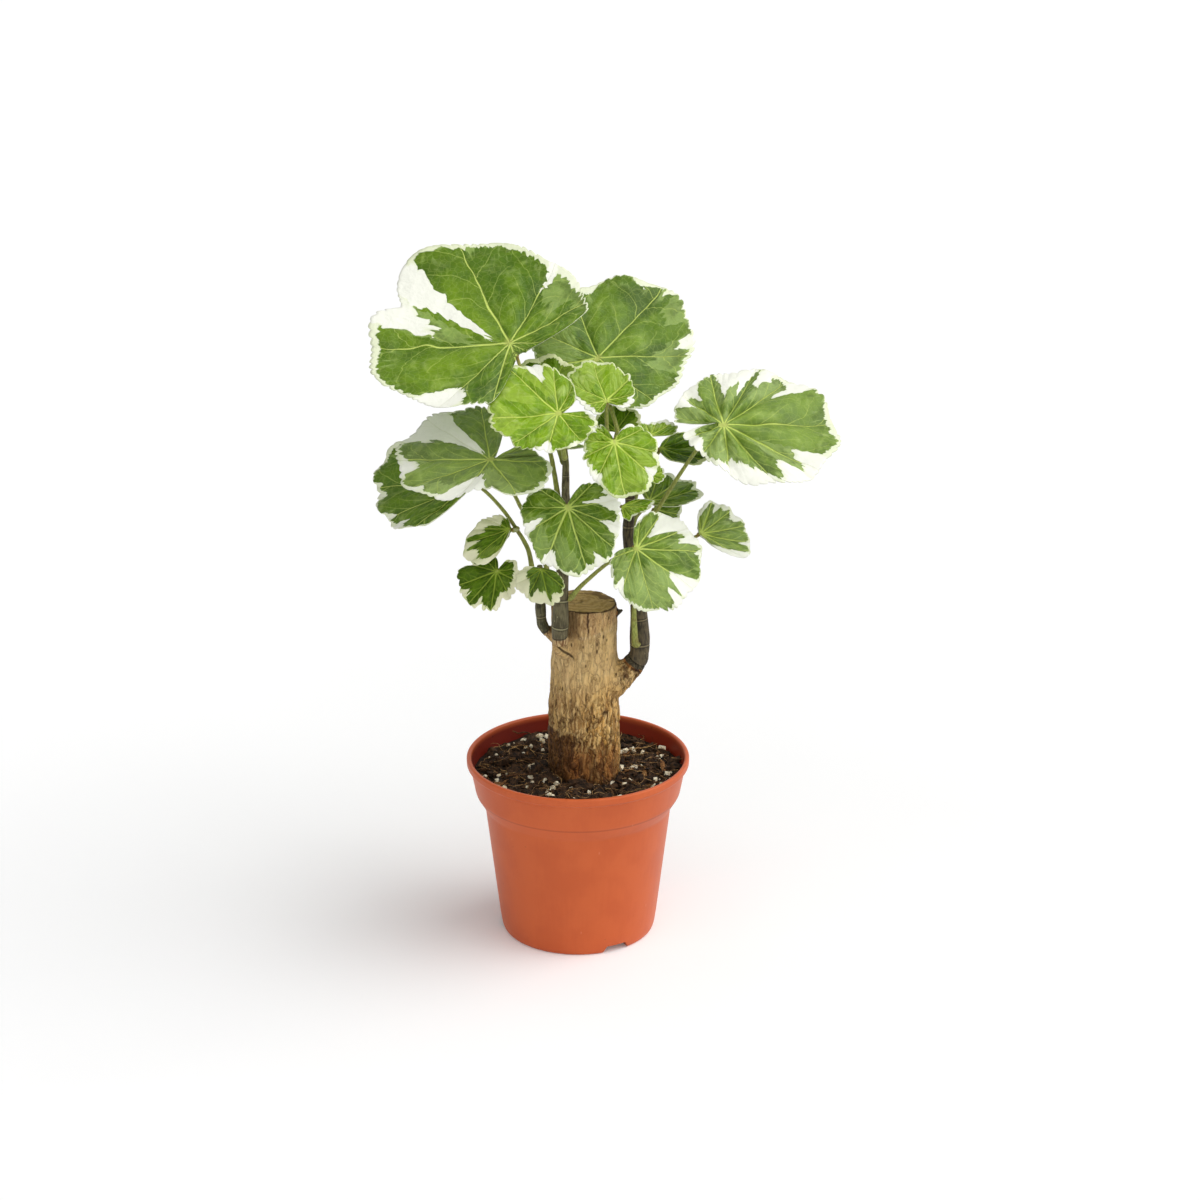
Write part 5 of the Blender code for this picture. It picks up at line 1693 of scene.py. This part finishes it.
class PlantLook(bpy.types.PropertyGroup):
    """Sizes and colours of the plant that a user may change"""
    pot_sides: amount("Pot sides", "Flat sides around the pot", 144, 48)
    pot_colour: hue("Pot colour", "Colour of the pot's plastic", 203, 97, 50)
    peat_colour: hue("Peat colour", "Lighter colour of the peat", 58, 42, 30)
    crumbs: amount("Crumbs", "Coarse crumbs of peat on the soil", 700)
    clods: amount("Clods", "Large lumps of peat on the soil", 70)
    bark_bits: amount("Bark bits", "Slivers of bark on the soil", 110)
    perlite: amount("Perlite", "White grains on the soil", 300)
    fibres: amount("Fibres", "Root fibres on the soil", 190)
    bark_colour: hue("Bark colour", "Main colour of the trunk's bark", 214, 178, 116)
    bark_cell: length("Bark cell", "Size of the trunk's mesh cells", 0.0008, 0.0003)
    bark_depth: length("Bark depth", "How far the bark's ridges stand out", 0.001)
    stem_bumps: length("Stem bumps", "Height of the bumps on the shoots", 0.0003)
    petiole_colour: hue("Petiole colour", "Colour of the leaf stalks", 162, 168, 86)
    leaf_green: hue("Leaf green", "Deeper green of a grown leaf", 74, 108, 6)
    young_green: hue("Young green", "Deeper green of a young leaf", 108, 148, 4)
    cream: hue("Cream", "Colour of the leaves' pale parts", 246, 247, 234)
    tooth: length("Tooth", "Height of the teeth on a leaf's margin", 0.0019)
    pucker: length("Pucker", "How far a blade swells between its veins", 0.0016)
    blade_thickness: length("Blade thickness", "Thickness of a leaf", 0.00045, 0.0001)
    key: light("Key lamp", "Light on a surface that faces the high lamp on the right", 0.42)
    side: light("Side lamp", "Light on a surface that faces the low lamp on the right", 0.17)
    fill: light("Fill lamp", "Light on a surface that faces the lamp in front", 0.3)
    left_fill: light("Left fill lamp", "Light on a surface that faces the lamp on the left", 0.2)
    sky: light("Sky", "Strength of the light from all around", 0.27)
    floor_size: length("Floor size", "Length of the floor's sides", 14.0, 1)
    floor_glow: FloatProperty(name="Floor glow", description="White that the floor as seen has of its own",
                              default=0.09, min=0, max=1, subtype="FACTOR")


class PLANT_OT_pot(bpy.types.Operator):
    """Build the plastic pot with its foot notches and drain holes"""
    bl_idname = "plant.pot"
    bl_label = "Turn the pot"

    def execute(self, context):
        make_pot(context.scene.plant_look)
        return {"FINISHED"}


class PLANT_OT_soil(bpy.types.Operator):
    """Build the peat bed and scatter its crumbs, perlite and fibres"""
    bl_idname = "plant.soil"
    bl_label = "Fill the soil"

    def execute(self, context):
        make_soil(context.scene.plant_look)
        return {"FINISHED"}


class PLANT_OT_trunk(bpy.types.Operator):
    """Build the sawn trunk with its bark and collars"""
    bl_idname = "plant.trunk"
    bl_label = "Carve the trunk"

    def execute(self, context):
        make_trunk(context.scene.plant_look)
        return {"FINISHED"}


class PLANT_OT_stems(bpy.types.Operator):
    """Build the three shoots"""
    bl_idname = "plant.stems"
    bl_label = "Grow the shoots"

    def execute(self, context):
        make_stems(context.scene.plant_look)
        return {"FINISHED"}


class PLANT_OT_petioles(bpy.types.Operator):
    """Build the stalks of the leaves"""
    bl_idname = "plant.petioles"
    bl_label = "Grow the petioles"

    def execute(self, context):
        make_petioles(context.scene.plant_look)
        return {"FINISHED"}


class PLANT_OT_leaves(bpy.types.Operator):
    """Build the variegated blades"""
    bl_idname = "plant.leaves"
    bl_label = "Unfold the leaves"

    def execute(self, context):
        make_leaves(context.scene.plant_look)
        return {"FINISHED"}


class PLANT_OT_stage(bpy.types.Operator):
    """Build the floor, lamps, surround and camera"""
    bl_idname = "plant.stage"
    bl_label = "Set the stage"

    def execute(self, context):
        make_stage(context.scene.plant_look)
        return {"FINISHED"}


class PLANT_PT_look(bpy.types.Panel):
    """Panel that lists the plant's operators and its sizes and colours"""
    bl_label = "Potted polyscias"
    bl_idname = "PLANT_PT_look"
    bl_space_type = "VIEW_3D"
    bl_region_type = "UI"
    bl_category = "Plant"

    def draw(self, context):
        for step in OPERATORS:
            self.layout.operator(step.bl_idname)
        for name in PlantLook.__annotations__:
            self.layout.prop(context.scene.plant_look, name)


OPERATORS = (PLANT_OT_pot, PLANT_OT_soil, PLANT_OT_trunk, PLANT_OT_stems, PLANT_OT_petioles, PLANT_OT_leaves,
             PLANT_OT_stage)
CLASSES = (PlantLook, *OPERATORS, PLANT_PT_look)


def register():
    for kind in CLASSES:
        bpy.utils.register_class(kind)
    bpy.types.Scene.plant_look = PointerProperty(type=PlantLook)


def unregister():
    del bpy.types.Scene.plant_look
    for kind in reversed(CLASSES):
        bpy.utils.unregister_class(kind)


def main():
    register()
    bpy.ops.plant.pot()
    bpy.ops.plant.soil()
    bpy.ops.plant.trunk()
    bpy.ops.plant.stems()
    bpy.ops.plant.petioles()
    bpy.ops.plant.leaves()
    bpy.ops.plant.stage()
    bpy.context.view_layer.update()


if __name__ == "__main__":
    main()
